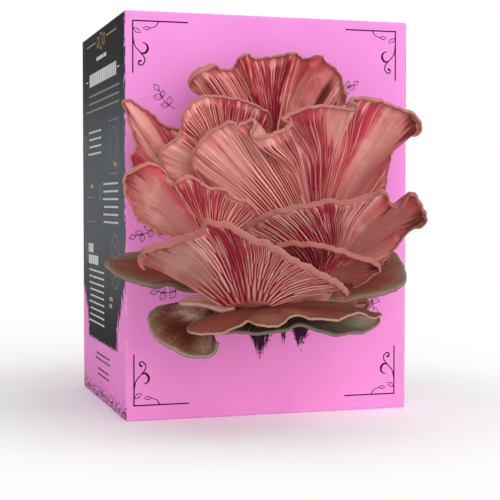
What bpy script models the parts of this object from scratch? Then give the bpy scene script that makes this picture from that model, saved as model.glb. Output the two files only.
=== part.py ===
"""Oyster mushroom grow kit.

A closed board carton stands on the ground and holds a block of substrate. A cluster of oyster
mushrooms grows out of a window in its front panel. The origin is the centre of the carton's
bottom face, +Z is up, and the front panel faces -Y.
"""

import math

import bmesh
import bpy
import numpy as np

# Driving dimensions, in metres
CARTON_WIDTH = 0.163
CARTON_DEPTH = 0.137
CARTON_HEIGHT = 0.220
BOARD = 0.0015
EDGE_ROUNDING = 0.0012
GAP = 0.0003
STEM_GAP = 0.0006

WINDOW_WIDTH = 0.084
WINDOW_HEIGHT = 0.072
WINDOW_CENTRE_X = -0.008
WINDOW_CENTRE_Z = 0.100
WINDOW_CORNER = 0.026

SEAM_WIDTH = 0.0006
SEAM_DEPTH = 0.0005
LID_INSET = 0.0030
CUTTER_REACH = 0.010

BLOCK_ROUNDING = 0.006
SHARP_ANGLE = math.radians(40)

# The fused stem mass, as ellipses across the outward direction: how far out of the front
# panel each one lies, its centre (x, z) and its half sizes (x, z), in millimetres
BASE_SECTIONS = [
    (8, -8, 99, 42.0, 36.0),
    (16, -7, 93, 39.0, 35.0),
    (24, -6, 87, 36.0, 30.0),
    (32, -6, 81, 33.0, 24.0),
    (40, -7, 75, 29.0, 17.0),
    (47, -9, 71, 21.0, 10.0),
    (51, -10, 70, 12.0, 5.0),
]
CORNER_SEGMENTS = 4
BASE_SIDES = 4 * (CORNER_SEGMENTS + 1)
BASE_LUMPS = 0.03
BASE_TWIST = 5

# How the caps are built
MM = 0.001
FRONT_Y = -CARTON_DEPTH / 2
SPLINE_SAMPLES = 240
SPLINE_STEPS = 8
TINY = 1e-9
SHEET_ROWS = (0.0, 0.34, 0.68, 1.0)
LIP_ANGLES = (55, 115)
GILL_HEIGHT = 0.8
CALM_START = 0.35
LIP_SHARE = 0.12
NECK_SPREAD = 1.45
STEM_COLLAR = 0.9
STEM_START = 1.15
STEM_END = 0.95
STEM_SIDE = 0.06

PINK_GILLS = (0.62, 0.17, 0.15, 1.0)
RED_GILLS = (0.30, 0.05, 0.05, 1.0)
GREY_GILLS = (0.07, 0.065, 0.05, 1.0)
BROWN_SKIN = (0.16, 0.05, 0.035, 1.0)
RED_SKIN = (0.38, 0.14, 0.11, 1.0)


class Cap:
    """One mushroom cap, as a fan from its root to its rim. All its numbers are millimetres.

    root and every rim point are (x, z, out), where out is the distance out of the front panel.
    The rim runs clockwise around the root as seen from the front. stem_to is a point inside
    the fused base. bulge lifts the middle of the sheet towards the viewer, and curl is the
    radius of the rolled lip, which turns towards the viewer, or away from it if negative.
    gills says on which side of the sheet the gills are: 1 is the viewer's, -1 the far side.
    """

    def __init__(self, name, root, stem_to, rim, columns, **more):
        self.name = name
        self.root = np.array(root, float)
        self.stem_to = np.array(stem_to, float)
        self.rim = rim
        self.columns = columns
        self.bulge = more.get("bulge", -2.0)
        self.curl = more.get("curl", 2.6)
        self.gills = more.get("gills", 1)
        self.neck = more.get("neck", 5.0)
        self.thick_root = more.get("thick_root", 4.5)
        self.thick_rim = more.get("thick_rim", 1.8)
        self.calm = more.get("calm", 160)
        self.color = more.get("color", PINK_GILLS)


CAPS = [
    Cap(
        "cap_top", (-3, 146, 14), (-6, 118, 4),
        [
            (-42, 163, 20), (-49, 178, 22), (-52, 183, 26), (-49, 187, 28), (-43, 189, 26),
            (-36, 187, 24), (-29, 189, 22), (-26, 192, 24), (-25, 196, 30), (-18, 195, 26),
            (-8, 197, 22), (4, 198, 26), (11, 197, 22), (18, 197, 26), (24, 193, 24),
            (34, 187, 20), (36, 180, 20), (36, 172, 20), (30, 163, 20),
        ],
        22,
    ),
    Cap(
        "cap_upper_left", (-26, 119, 27), (-14, 100, 8),
        [
            (-62, 124, 27), (-69, 134, 30), (-70, 145, 34), (-66, 148, 34), (-60, 151, 33),
            (-59, 159, 34), (-58, 165, 36), (-54, 170, 38), (-49, 172, 38), (-40, 172, 38),
            (-28, 171, 38), (-19, 168, 38), (-13, 164, 36), (-9, 157, 33),
        ],
        20,
    ),
    Cap(
        "cap_left_tip", (-50, 122, 16), (-22, 108, 4),
        [
            (-78, 126, 16), (-82, 137, 18), (-83, 146, 20), (-81, 150, 20), (-83, 157, 20),
            (-83, 162, 22), (-86, 167, 24), (-88, 171, 28), (-80, 170, 24), (-71, 165, 20),
            (-62, 158, 18), (-52, 156, 17),
        ],
        16, bulge=1.0, curl=2.2, calm=60, thick_rim=1.5,
    ),
    Cap(
        "cap_right", (15, 98, 32), (10, 94, 10),
        [
            (-46, 122, 34), (-54, 138, 38), (-54, 146, 42), (-45, 154, 44), (-37, 160, 46),
            (-34, 157, 51), (-29, 158, 50), (-26, 153, 55), (-19, 154, 59), (-11, 157, 57),
            (-11, 161, 50), (-2, 164, 46), (8, 168, 46), (21, 168, 48), (28, 168, 50),
            (35, 170, 49), (42, 172, 45), (52, 172, 43), (61, 168, 42), (67, 165, 42),
            (70, 159, 42), (69, 154, 40), (62, 151, 36), (58, 144, 32), (56, 134, 30),
            (56, 124, 28),
        ],
        22, bulge=-2.5, thick_root=4.0,
    ),
    Cap(
        "cap_left", (-45, 92, 38), (-20, 85, 12),
        [
            (-72, 103, 36), (-82, 110, 38), (-87, 116, 42), (-91, 125, 46), (-91, 133, 50),
            (-85, 137, 54), (-81, 138, 56), (-77, 136, 54), (-72, 133, 52), (-68, 130, 56),
            (-66, 132, 59), (-59, 131, 58), (-53, 128, 56), (-42, 126, 56), (-36, 122, 56),
            (-27, 118, 56), (-23, 112, 54),
        ],
        22, bulge=-1.0,
    ),
    Cap(
        "cap_right_mid", (20, 76, 37), (14, 80, 16),
        [
            (-25, 97, 48), (-30, 106, 52), (-25, 110, 58), (-19, 113, 61), (-6, 116, 63),
            (5, 118, 63), (21, 121, 62), (32, 123, 60), (39, 125, 61), (44, 121, 58),
            (50, 118, 56), (56, 121, 58), (59, 123, 60), (64, 119, 58), (69, 111, 54),
            (68, 107, 50), (63, 105, 46), (55, 94, 42), (49, 85, 38),
        ],
        22, bulge=-2.0,
    ),
    Cap(
        "cap_right_low", (8, 75, 51), (3, 77, 32),
        [
            (-12, 93, 60), (-13, 97, 64), (-8, 99, 68), (2, 97, 71), (11, 95, 72),
            (21, 92, 70), (32, 89, 66), (40, 85, 62), (36, 80, 58), (28, 76, 54),
        ],
        16, bulge=-1.5, neck=4.0,
    ),
    Cap(
        "cap_front", (-32, 68, 57), (-22, 80, 34),
        [
            (-84, 90, 69), (-88, 92, 72), (-87, 97, 75), (-81, 99, 76), (-71, 100, 78),
            (-65, 105, 80), (-61, 108, 83), (-59, 110, 85), (-54, 109, 84), (-47, 108, 84),
            (-40, 103, 86), (-30, 96, 87), (-22, 91, 87), (-11, 86, 85), (4, 79, 82),
            (11, 75, 80), (15, 74, 78),
        ],
        24, bulge=-2.0, curl=3.0,
    ),
    Cap(
        "cap_low_left", (-44, 80, 28), (-22, 80, 12),
        [
            (-60, 73, 37), (-67, 76, 40), (-75, 76, 42), (-83, 78, 42), (-92, 81, 42),
            (-100, 88, 42), (-95, 90, 38), (-90, 92, 36), (-82, 93, 34), (-68, 93, 30),
        ],
        14, bulge=2.0, curl=-1.5, gills=-1, neck=4.0, calm=30, color=BROWN_SKIN,
    ),
    Cap(
        "cap_bottom_left", (-43, 63, 35), (-26, 72, 18),
        [
            (-49, 49, 66), (-52, 44, 69), (-58, 43, 70), (-65, 44, 70), (-71, 47, 68),
            (-76, 50, 64), (-79, 53, 59), (-80, 58, 52), (-79, 62, 46), (-74, 65, 40),
            (-64, 66, 35),
        ],
        16, bulge=2.0, curl=-1.8, gills=-1, neck=4.0, color=BROWN_SKIN,
    ),
    Cap(
        "cap_fold", (-34, 64.5, 46), (-22, 69, 34),
        [
            (-38, 65.5, 58), (-45, 64.5, 60), (-53, 67, 56), (-64, 68, 49), (-58, 70.5, 45),
            (-47, 71, 44),
        ],
        10, bulge=1.0, curl=-1.2, gills=-1, neck=2.6, thick_root=3.0, thick_rim=1.5,
        color=RED_SKIN,
    ),
    Cap(
        "cap_bottom", (-12, 64, 46), (-12, 72, 30),
        [
            (20, 66, 52), (28, 64, 62), (32, 62, 74), (33, 62, 80), (26, 61, 84),
            (20, 63, 86), (12, 63, 88), (3, 61, 92), (-4, 62, 92), (-10, 62, 94),
            (-15, 64, 91), (-18, 64, 91), (-23, 61, 94), (-33, 60, 97), (-38, 60, 96),
            (-41, 62, 92), (-45, 60, 94), (-48, 59, 91), (-53, 57, 91), (-58, 56, 90),
            (-64, 56, 88), (-68, 57, 86), (-66, 57, 80), (-56, 56, 72),
        ],
        22, bulge=1.0, curl=-1.6, gills=-1, neck=4.0, color=BROWN_SKIN,
    ),
    Cap(
        "cap_under", (-5, 57, 36), (-8, 71, 20),
        [
            (42, 60, 56), (41, 55, 58), (36, 52, 60), (28, 50, 62), (19, 50, 64),
            (10, 51, 64), (3, 53, 62), (-4, 55, 62), (-13, 53, 63), (-22, 52, 64),
            (-29, 52, 63), (-37, 52, 60), (-44, 52, 55), (-43, 55, 46),
        ],
        18, bulge=-1.0, curl=1.2, gills=1, neck=4.0, color=GREY_GILLS,
    ),
    Cap(
        "cap_low_right", (33, 74, 24), (14, 74, 6),
        [
            (52, 98, 24), (61, 92, 26), (65, 88, 29), (67, 83, 32), (68, 77, 34),
            (65, 74, 36), (53, 71, 39), (45, 69, 40), (35, 67, 38),
        ],
        14, bulge=2.0, curl=-1.6, gills=-1, neck=4.0, color=BROWN_SKIN,
    ),
    Cap(
        "cap_small_right", (13, 64, 16), (0, 74, 6),
        [
            (30, 67, 20), (37, 66, 23), (44, 66, 26), (49, 63, 28), (47, 59, 27),
            (41, 57, 25), (32, 55, 21),
        ],
        8, bulge=0.5, curl=2.0, neck=2.6, calm=40, thick_root=3.0, thick_rim=1.2,
        color=RED_GILLS,
    ),
]


# Scene and materials


def clear_scene():
    for obj in list(bpy.data.objects):
        bpy.data.objects.remove(obj, do_unlink=True)


def new_collection(name):
    collection = bpy.data.collections.new(name)
    bpy.context.scene.collection.children.link(collection)
    return collection


def new_material(name, color, roughness, metallic=0.0):
    material = bpy.data.materials.new(name)
    material.use_nodes = True
    shader = material.node_tree.nodes["Principled BSDF"]
    shader.inputs["Base Color"].default_value = color
    shader.inputs["Roughness"].default_value = roughness
    shader.inputs["Metallic"].default_value = metallic
    return material


def new_object(name, bm, collection, material=None):
    """The bmesh as a named object, its faces turned outward and its round stretches smooth."""
    bmesh.ops.recalc_face_normals(bm, faces=bm.faces)
    mesh = bpy.data.meshes.new(name)
    bm.to_mesh(mesh)
    bm.free()
    mesh.shade_smooth()
    mesh.set_sharp_from_angle(angle=SHARP_ANGLE)
    obj = bpy.data.objects.new(name, mesh)
    collection.objects.link(obj)
    if material:
        mesh.materials.append(material)
    return obj


def as_cutter(obj):
    obj.hide_render = True
    obj.display_type = "WIRE"
    return obj


def cut(obj, cutter):
    modifier = obj.modifiers.new("Cut " + cutter.name, "BOOLEAN")
    modifier.operation = "DIFFERENCE"
    modifier.object = cutter
    modifier.solver = "EXACT"


# Carton and block


def box_bmesh(low, high):
    bm = bmesh.new()
    bmesh.ops.create_cube(bm, size=1.0)
    low = np.array(low)
    high = np.array(high)
    for vert in bm.verts:
        vert.co = (low + high) / 2 + np.array(vert.co) * (high - low)
    return bm


def rounded_box(low, high, radius, segments):
    bm = box_bmesh(low, high)
    bmesh.ops.bevel(
        bm, geom=bm.edges[:], offset=radius, segments=segments, profile=0.5, affect="EDGES"
    )
    return bm


def window_cutter():
    """A block through the front panel, its four edges rounded to the window's corners."""
    x, z = WINDOW_CENTRE_X, WINDOW_CENTRE_Z
    bm = box_bmesh(
        (x - WINDOW_WIDTH / 2, FRONT_Y - CUTTER_REACH, z - WINDOW_HEIGHT / 2),
        (x + WINDOW_WIDTH / 2, FRONT_Y + CUTTER_REACH, z + WINDOW_HEIGHT / 2),
    )
    along_y = [
        edge for edge in bm.edges
        if abs(edge.verts[0].co.y - edge.verts[1].co.y) > CUTTER_REACH
    ]
    bmesh.ops.bevel(
        bm, geom=along_y, offset=WINDOW_CORNER, segments=CORNER_SEGMENTS, profile=0.5,
        affect="EDGES",
    )
    return bm


def window_outline(margin):
    """The window's rounded rectangle as (x, z) points, made larger by margin."""
    half_width = WINDOW_WIDTH / 2 + margin
    half_height = WINDOW_HEIGHT / 2 + margin
    radius = WINDOW_CORNER + margin
    points = []
    for quarter, (side_x, side_z) in enumerate([(1, 1), (-1, 1), (-1, -1), (1, -1)]):
        for step in range(CORNER_SEGMENTS + 1):
            angle = np.pi / 2 * (quarter + step / CORNER_SEGMENTS)
            x = side_x * (half_width - radius) + radius * np.cos(angle)
            z = side_z * (half_height - radius) + radius * np.sin(angle)
            points.append((WINDOW_CENTRE_X + x, WINDOW_CENTRE_Z + z))
    return points


def build_carton(collection, cutters):
    half_width = CARTON_WIDTH / 2
    half_depth = CARTON_DEPTH / 2
    outer = rounded_box(
        (-half_width, -half_depth, 0), (half_width, half_depth, CARTON_HEIGHT),
        EDGE_ROUNDING, 2,
    )
    board = new_material("printed_board", (0.83, 0.25, 0.58, 1.0), 0.5)
    carton = new_object("carton", outer, collection, board)
    inner = box_bmesh(
        (-half_width + BOARD, -half_depth + BOARD, BOARD),
        (half_width - BOARD, half_depth - BOARD, CARTON_HEIGHT - BOARD),
    )
    cut(carton, as_cutter(new_object("carton_inside", inner, cutters)))
    cut(carton, as_cutter(new_object("carton_window", window_cutter(), cutters)))
    for name, low, high in lid_seams():
        cut(carton, as_cutter(new_object(name, box_bmesh(low, high), cutters)))


def lid_seams():
    """Boxes that cut the slits around the tucked lid: (name, low corner, high corner)."""
    half_width = CARTON_WIDTH / 2
    front = -CARTON_DEPTH / 2 + BOARD
    bottom = CARTON_HEIGHT - SEAM_DEPTH
    top = CARTON_HEIGHT + CUTTER_REACH
    back = CARTON_DEPTH / 2 - LID_INSET
    side = half_width - BOARD
    return [
        ("lid_seam_front", (-side, front, bottom), (side, front + SEAM_WIDTH, top)),
        ("lid_seam_left", (-side, front, bottom), (-side + SEAM_WIDTH, back, top)),
        ("lid_seam_right", (side - SEAM_WIDTH, front, bottom), (side, back, top)),
    ]


def build_block(collection):
    inset = BOARD + GAP
    block = rounded_box(
        (-CARTON_WIDTH / 2 + inset, -CARTON_DEPTH / 2 + inset, inset),
        (CARTON_WIDTH / 2 - inset, CARTON_DEPTH / 2 - inset, CARTON_HEIGHT - inset),
        BLOCK_ROUNDING, 2,
    )
    material = new_material("mycelium_block", (0.72, 0.62, 0.5, 1.0), 0.9)
    new_object("substrate_block", block, collection, material)


# The fused stem mass


def base_rings():
    """Rings of points around the fused base, from the block outward."""
    opening = window_outline(-GAP)
    rings = [[(x, y, z) for x, z in opening] for y in (FRONT_Y + BOARD, FRONT_Y)]
    for out, centre_x, centre_z, half_x, half_z in BASE_SECTIONS:
        ring = []
        for step in range(BASE_SIDES):
            angle = 2 * np.pi * (step + 0.5) / BASE_SIDES
            lump = 1 + BASE_LUMPS * np.sin(3 * angle + out / BASE_TWIST)
            x = centre_x + half_x * lump * np.cos(angle)
            z = centre_z + half_z * lump * np.sin(angle)
            ring.append(to_world((x, z, out)))
        rings.append(ring)
    return rings


def ring_body(rings):
    """A closed body lofted through rings of equal length, with a face on each end."""
    bm = bmesh.new()
    rows = [[bm.verts.new(point) for point in ring] for ring in rings]
    for lower, upper in zip(rows, rows[1:]):
        for i in range(len(lower)):
            following = (i + 1) % len(lower)
            bm.faces.new((lower[i], lower[following], upper[following], upper[i]))
    bm.faces.new(rows[0])
    bm.faces.new(rows[-1])
    return bm


def build_base(collection, cutters):
    material = new_material("stem_flesh", (0.45, 0.16, 0.13, 1.0), 0.6)
    new_object("cluster_base", ring_body(base_rings()), collection, material)
    larger = ring_body(base_rings())
    bmesh.ops.recalc_face_normals(larger, faces=larger.faces)
    larger.normal_update()
    for vert in larger.verts:
        vert.co += vert.normal * STEM_GAP
    return as_cutter(new_object("base_clearance", larger, cutters))


# Caps


def spline(points, count):
    """count points, evenly spaced along a smooth curve through the given ones."""
    points = np.array(points, float)
    knots = np.concatenate([[0], np.cumsum(np.linalg.norm(np.diff(points, axis=0), axis=1))])
    slopes = np.gradient(points, knots, axis=0)
    fine = np.linspace(0, knots[-1], SPLINE_STEPS * count)
    span = np.clip(np.searchsorted(knots, fine, side="right") - 1, 0, len(points) - 2)
    length = (knots[span + 1] - knots[span])[:, None]
    t = (fine - knots[span])[:, None] / length
    curve = (
        (2 * t**3 - 3 * t**2 + 1) * points[span]
        + (t**3 - 2 * t**2 + t) * length * slopes[span]
        + (3 * t**2 - 2 * t**3) * points[span + 1]
        + (t**3 - t**2) * length * slopes[span + 1]
    )
    return resampled(curve, np.linspace(0, 1, count))


def along(curve):
    """Each point's share of the curve's length."""
    run = np.concatenate([[0], np.cumsum(np.linalg.norm(np.diff(curve, axis=0), axis=1))])
    return run / run[-1]


def resampled(curve, shares):
    run = along(curve)
    return np.stack([np.interp(shares, run, curve[:, axis]) for axis in range(3)], axis=1)


def smoothed(curve, passes):
    """The curve with its small waves averaged out, its ends kept."""
    curve = curve.copy()
    for _ in range(passes):
        curve[1:-1] = curve[1:-1] / 2 + (curve[:-2] + curve[2:]) / 4
    return curve


def unit(vectors):
    return vectors / np.maximum(np.linalg.norm(vectors, axis=-1, keepdims=True), TINY)


def smooth_step(value):
    value = np.clip(value, 0, 1)
    return value * value * (3 - 2 * value)


def rim_columns(cap):
    """The cap's rim and its calmed rim, at each column."""
    rim = spline(cap.rim, SPLINE_SAMPLES)
    calm = smoothed(rim, cap.calm)
    shares = (along(rim) + along(calm)) / 2
    index = np.interp(np.linspace(0, 1, cap.columns + 1), shares, np.arange(SPLINE_SAMPLES))
    return picked(rim, index), picked(calm, index)


def picked(curve, index):
    """The curve's points at fractional places in its list."""
    places = np.arange(len(curve))
    return np.stack([np.interp(index, places, curve[:, axis]) for axis in range(3)], axis=1)


def cap_frame(cap, normal):
    """The cap's mean directions: out of the sheet, from root to rim, and to the rim's start."""
    facing = unit(normal.mean(axis=0))
    rim = np.array(cap.rim, float)
    up = unit((rim - cap.root).mean(axis=0))
    up = unit(up - facing * (facing @ up))
    start = np.cross(facing, up)
    return facing, up, start * np.sign(start @ (rim[0] - rim[-1]))


def neck_arc(cap, spoke, normal):
    """Points on an even arc around the root, where the sheet leaves the stem."""
    facing, up, start = cap_frame(cap, normal)
    first, last = (np.arctan2(spoke[end] @ start, spoke[end] @ up) for end in (0, -1))
    angle = np.linspace(
        min(first, NECK_SPREAD), max(last, -NECK_SPREAD), len(spoke)
    )[:, None]
    return cap.root + cap.neck * (np.cos(angle) * up + np.sin(angle) * start)


def middle_sheet(cap):
    """The sheet's middle surface as rows of (x, z, out) points, from root to rolled lip."""
    rim, calm = rim_columns(cap)
    spoke = calm - cap.root
    reach = np.linalg.norm(spoke, axis=1, keepdims=True)
    tangent = unit(np.gradient(calm, axis=0))
    normal = unit(np.cross(tangent, spoke))
    outward = unit(np.cross(normal, tangent) + unit(spoke))
    roll = np.minimum(abs(cap.curl), LIP_SHARE * reach)
    side = np.sign(cap.curl)
    inset = outward * (roll + cap.thick_rim / 2)
    calm_edge = calm - inset
    edge = rim - inset
    arc = neck_arc(cap, spoke, normal)
    rows = []
    for share in SHEET_ROWS:
        wave = smooth_step((share - CALM_START) / (1 - CALM_START))
        place = arc + (calm_edge - arc) * share + (edge - calm_edge) * wave
        rows.append(place + normal * cap.bulge * np.sin(np.pi * share))
    for angle in np.radians(LIP_ANGLES):
        turned = np.sin(angle) * outward + side * (1 - np.cos(angle)) * normal
        rows.append(edge + roll * turned)
    return np.array(rows)


def sheet_sides(cap):
    """The viewer's side and the far side of the cap, each as rows of (x, z, out) points."""
    middle = middle_sheet(cap)
    across = np.gradient(middle, axis=1)
    up = np.gradient(middle, axis=0)
    normal = unit(np.cross(across, up))
    normal[0] = unit(normal.mean(axis=(0, 1)))
    shares = np.array(list(SHEET_ROWS) + [1.0] * len(LIP_ANGLES))
    half = (cap.thick_root + (cap.thick_rim - cap.thick_root) * shares)[:, None, None] / 2
    ridge = np.zeros(middle.shape[:2] + (1,))
    ridge[1 : len(SHEET_ROWS), 1:-1:2] = GILL_HEIGHT
    near = middle + normal * (half + (ridge if cap.gills > 0 else 0))
    far = middle - normal * (half + (ridge if cap.gills < 0 else 0))
    return near, far, normal


def stem_ring(cap, normal, centre, radius):
    """A ring around the stem that meets the sheet's two sides, in the order of cap_rings."""
    stem = unit(cap.stem_to - cap.root)
    rim = np.array(cap.rim, float)
    spoke = unit((rim - cap.root).mean(axis=0))
    front = unit(normal.mean(axis=(0, 1))) - spoke
    front = unit(front - stem * (front @ stem))
    left = np.cross(stem, front)
    left = left * np.sign(left @ (rim[0] - rim[-1]))
    angle = np.pi * np.linspace(STEM_SIDE, 1 - STEM_SIDE, cap.columns + 1)[:, None]
    near = centre + radius * (np.cos(angle) * left + np.sin(angle) * front)
    far = centre + radius * (np.cos(angle) * left - np.sin(angle) * front)
    return np.concatenate([near, far[::-1]])


def cap_rings(cap):
    """Closed rings from the stem's end inside the base, up the sheet and over the lip."""
    near, far, normal = sheet_sides(cap)
    stem = unit(cap.stem_to - cap.root)
    collar = cap.root + stem * cap.neck * STEM_COLLAR
    rings = [
        stem_ring(cap, normal, cap.stem_to, cap.neck * STEM_END),
        stem_ring(cap, normal, collar, cap.neck * STEM_START),
    ]
    for near_row, far_row in zip(near, far):
        rings.append(np.concatenate([near_row, far_row[::-1]]))
    return [[to_world(point) for point in ring] for ring in rings]


def to_world(point):
    """A place in metres from (x, z, out) in millimetres."""
    x, z, out = (float(value) * MM for value in point)
    return (x, FRONT_Y - out, z)


def cap_body(cap):
    """A closed body lofted through the cap's rings, its two ends closed by strips."""
    bm = bmesh.new()
    rows = [[bm.verts.new(point) for point in ring] for ring in cap_rings(cap)]
    for lower, upper in zip(rows, rows[1:]):
        for i in range(len(lower)):
            following = (i + 1) % len(lower)
            bm.faces.new((lower[i], lower[following], upper[following], upper[i]))
    for row in (rows[0], rows[-1]):
        last = len(row) - 1
        for i in range(cap.columns):
            bm.faces.new((row[i], row[i + 1], row[last - i - 1], row[last - i]))
    return bm


def build_cap(cap, collection, clearance):
    material = new_material(cap.name + "_flesh", cap.color, 0.55)
    body = new_object(cap.name, cap_body(cap), collection, material)
    cut(body, clearance)


def main():
    clear_scene()
    kit = new_collection("oyster_mushroom_grow_kit")
    cutters = new_collection("cutters")
    build_carton(kit, cutters)
    build_block(kit)
    clearance = build_base(kit, cutters)
    for cap in CAPS:
        build_cap(cap, kit, clearance)


main()
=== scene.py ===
"""Oyster mushroom grow kit: the print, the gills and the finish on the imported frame.

Lengths in the tables of caps and print are millimetres. A place on the cluster is (x, z, out),
where out is the distance out of the carton's front panel.
"""

import math

import bmesh
import bpy
import numpy as np
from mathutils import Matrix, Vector, geometry


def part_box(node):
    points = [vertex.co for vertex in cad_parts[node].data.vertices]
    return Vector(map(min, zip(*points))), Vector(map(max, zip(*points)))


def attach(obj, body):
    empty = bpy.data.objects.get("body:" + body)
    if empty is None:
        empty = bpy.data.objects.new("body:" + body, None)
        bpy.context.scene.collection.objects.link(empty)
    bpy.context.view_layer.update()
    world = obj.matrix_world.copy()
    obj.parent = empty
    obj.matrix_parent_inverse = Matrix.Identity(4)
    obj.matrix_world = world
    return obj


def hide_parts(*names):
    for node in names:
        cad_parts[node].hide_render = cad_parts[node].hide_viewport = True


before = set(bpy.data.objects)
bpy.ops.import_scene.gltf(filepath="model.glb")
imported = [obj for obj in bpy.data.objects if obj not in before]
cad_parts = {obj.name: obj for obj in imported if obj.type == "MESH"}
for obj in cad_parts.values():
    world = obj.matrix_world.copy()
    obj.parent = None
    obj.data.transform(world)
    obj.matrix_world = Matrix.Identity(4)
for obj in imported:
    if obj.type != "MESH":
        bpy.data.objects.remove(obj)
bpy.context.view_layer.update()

FRONT_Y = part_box("carton")[0].y
MM = 0.001
TINY = 1e-9

# Camera, from the six visible corners of the carton
CAMERA_PLACE = (-0.2109, -0.7203, 0.1177)
CAMERA_AZIMUTH = math.radians(16.988)
CAMERA_PITCH = math.radians(-2.188)
FOCAL_PIXELS = 1238.43
PHOTO_PIXELS = 500
SENSOR = 36.0

# Studio light
SKY_STRENGTH = 0.58
KEY = ("key", 1.33, (0.55, -0.70, 0.50), math.radians(70))
FILL = ("fill", 0.86, (-0.22, -0.95, 0.30), math.radians(60))
WHITE_LIGHT = (1.0, 1.0, 1.0)
FLOOR_COLOR = (0.96, 0.97, 0.965)
# The floor glows, weaker near the carton than far off: painted light that whitens the far floor, and
# painted soft shade around the carton.
FLOOR_GLOW = (0.09, 0.19)
GLOW_REACH = (0.09, 0.25)
FLOOR_HALF = 6.0

# Sheets of the caps. Wavelengths are millimetres along the rim.
SPLINE_SAMPLES = 900
SPLINE_STEPS = 8
CALM_SAMPLES = 240
SHEET_SHARES = np.linspace(0, 1, 38)
LIP_ANGLES = np.radians([12, 26, 40, 54, 68, 82, 96, 110, 124, 138, 150, 160])
LIP_TIP_SHARE = 0.55
LIP_SHARE = 0.12
SMALL_FOLD_START = 0.72
SMALL_FOLD = 2.4
CRINKLE_WAVES = (6.1, 9.3, 4.2)
SWAY_WAVES = (5.2, 8.7, 12.9)
RUFFLE_WAVES = (15.0, 22.0, 34.0)
NECK_SPREAD = 1.45
BORDER_SHARE = 0.3
BORDER_TURNS = np.pi * np.array([0.25, 0.5, 0.75])
BORDER_SKIN = 0.5
# Patch kinds. Dark patches are mostly painted shade: in hollows, under lips and over the right-hand parts
# of the caps. Some pale patches are painted light, and red patches at the lip are partly painted shade.
PATCH_KINDS = ("smooth", "pale", "red", "dark")
PATCH_REACH = 1.6
FIRST_CAP_SEED = 11
SEEDS_PER_CAP = 100

# Gills. Wavelengths are numbers of gills, and shares run from root to lip.
GILL_SPACING = 1.6
GILL_HEIGHT = 0.7
GILL_SINK = GILL_HEIGHT / 3
COLUMNS_PER_GILL = 4
FIRST_GILLS = 8
NEW_GILLS = ((4, 0.08), (2, 0.30), (1, 0.60))
GILL_START_JITTER = 0.09
GILL_GROWTH = 0.12
GILL_WANDER = ((0.25, 0.9), (0.18, 2.3))
GILL_SWAY = (0.2, 5, 0.21)
GILL_FADE_IN = 0.025
GILL_FADE_OUT = (0.90, 0.985)
FADE_JITTER = 0.03
FADE_WAVES = (1.9, 5.3, 11.0)
PATCH_JITTER = 0.07
PATCH_WAVES = (2.1, 3.4, 7.7)
SMOOTH_LOSS = 0.85

# Stems
STEM_RINGS = 7
STEM_COLLAR = 0.9
STEM_START = 1.15
STEM_END = 0.95
STEM_SIDE = 0.06
STEM_GILL = 0.15

# Carton, in millimetres
HALF_WIDTH = 81.5
HALF_DEPTH = 68.5
HEIGHT = 220.0
BOARD = 1.5
EDGE_ROUNDING = 1.2
EDGE_SEGMENTS = 4
SHARP_EDGE = math.radians(50)
WINDOW_CENTRE = (-8.0, 100.0)
WINDOW_HALF = (42.0, 36.0)
WINDOW_CORNER = 26.0
WINDOW_STEPS = 16
SEAM_WIDTH = 0.6
SEAM_DEPTH = 0.5
LID_INSET = 3.0
WELD = 0.002
CUT_WELD = 0.006

# Print on the carton, in millimetres
PLAIN, INK, WHITE, GREY, GOLD, RAW, HOLE = range(7)
FRAME_LOW = (-77.0, 8.5)
FRAME_HIGH = (74.5, 214.6)
FRAME_LEGS = (30.4, 27.7)
FRAME_LINE = 0.75
SCROLL_LINE = 0.6
LINE_HEIGHT = 1.1
RULE = 0.8
OUTLINE = 0.5
WIDE_BAR = 2.2
NUMBER_RING = (3.0, 4.6)
STROKE_POINTS = 24
RING_POINTS = 28
FRONT_SEED = 21
SIDE_SEEDS = (31, 32)

# The scrolled corner's strokes: their points from the corner inward, and their widths
CORNER_STROKES = [
    ([(-FRAME_LINE / 2, 0), (FRAME_LEGS[0], 0)], [FRAME_LINE, FRAME_LINE]),
    ([(0, 0), (0, FRAME_LEGS[1])], [FRAME_LINE, FRAME_LINE]),
    ([(14.1, 0.3), (12.2, 2.8), (9.7, 3.7)], [SCROLL_LINE, 0.5, 0.4]),
    ([(9.7, 3.7), (7.6, 4.7), (5.4, 3.7)], [0.4, 0.5, 0.2]),
    ([(9.7, 3.7), (7.6, 3.1), (5.4, 3.7)], [0.4, 0.5, 0.2]),
    ([(0.3, 3.7), (1.4, 5.9), (4.4, 6.5)], [0.3, 0.5, 0.2]),
    ([(0.3, 3.7), (3.0, 4.6), (4.4, 6.5)], [0.3, 0.5, 0.2]),
    (
        [(0, 4.5), (0.2, 9), (1.2, 13.4), (4.1, 16.8), (6.3, 19.7), (6.6, 21.4), (4.9, 23.6)],
        [SCROLL_LINE, SCROLL_LINE, 0.7],
    ),
    ([(4.9, 23.6), (3.4, 23.3), (3.2, 22.0), (3.9, 21.2), (4.7, 21.7)], [0.7, 0.8, 1.1]),
    (
        [(5.1, 11.4), (7.1, 12.2), (8.0, 13.4), (8.0, 15.3), (6.1, 17.3), (4.1, 16.8)],
        [0.3, 0.9, 1.4, 1.2, 0.5],
    ),
]

# Leaf sprigs: (x, z, angle, length, pairs of leaves). Leaf sizes are shares of the length.
SPRIGS = [
    (-54, 168, 2.3, 13, 2), (58, 134, 0.6, 13, 2), (54, 70, -1.0, 14, 2),
    (-64, 106, 3.6, 13, 2), (-50, 72, 3.3, 14, 2), (40, 176, 0.7, 12, 2),
]
SPRIG_BOW = 0.12
FIRST_PAIR = 0.7
LAST_PAIR = 0.4
LEAF_LEAN = (0.7, 0.95)
LEAF_SIZE = (0.3, 0.38)
LEAF_WIDTH = 0.32
LEAF_BELLY = 0.45
LEAF_LINE = 0.35
LEAF_POINTS = 12
VEIN_REACH = 0.7
VEIN_LINES = (LEAF_LINE * 0.7, LEAF_LINE * 0.4)

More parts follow.
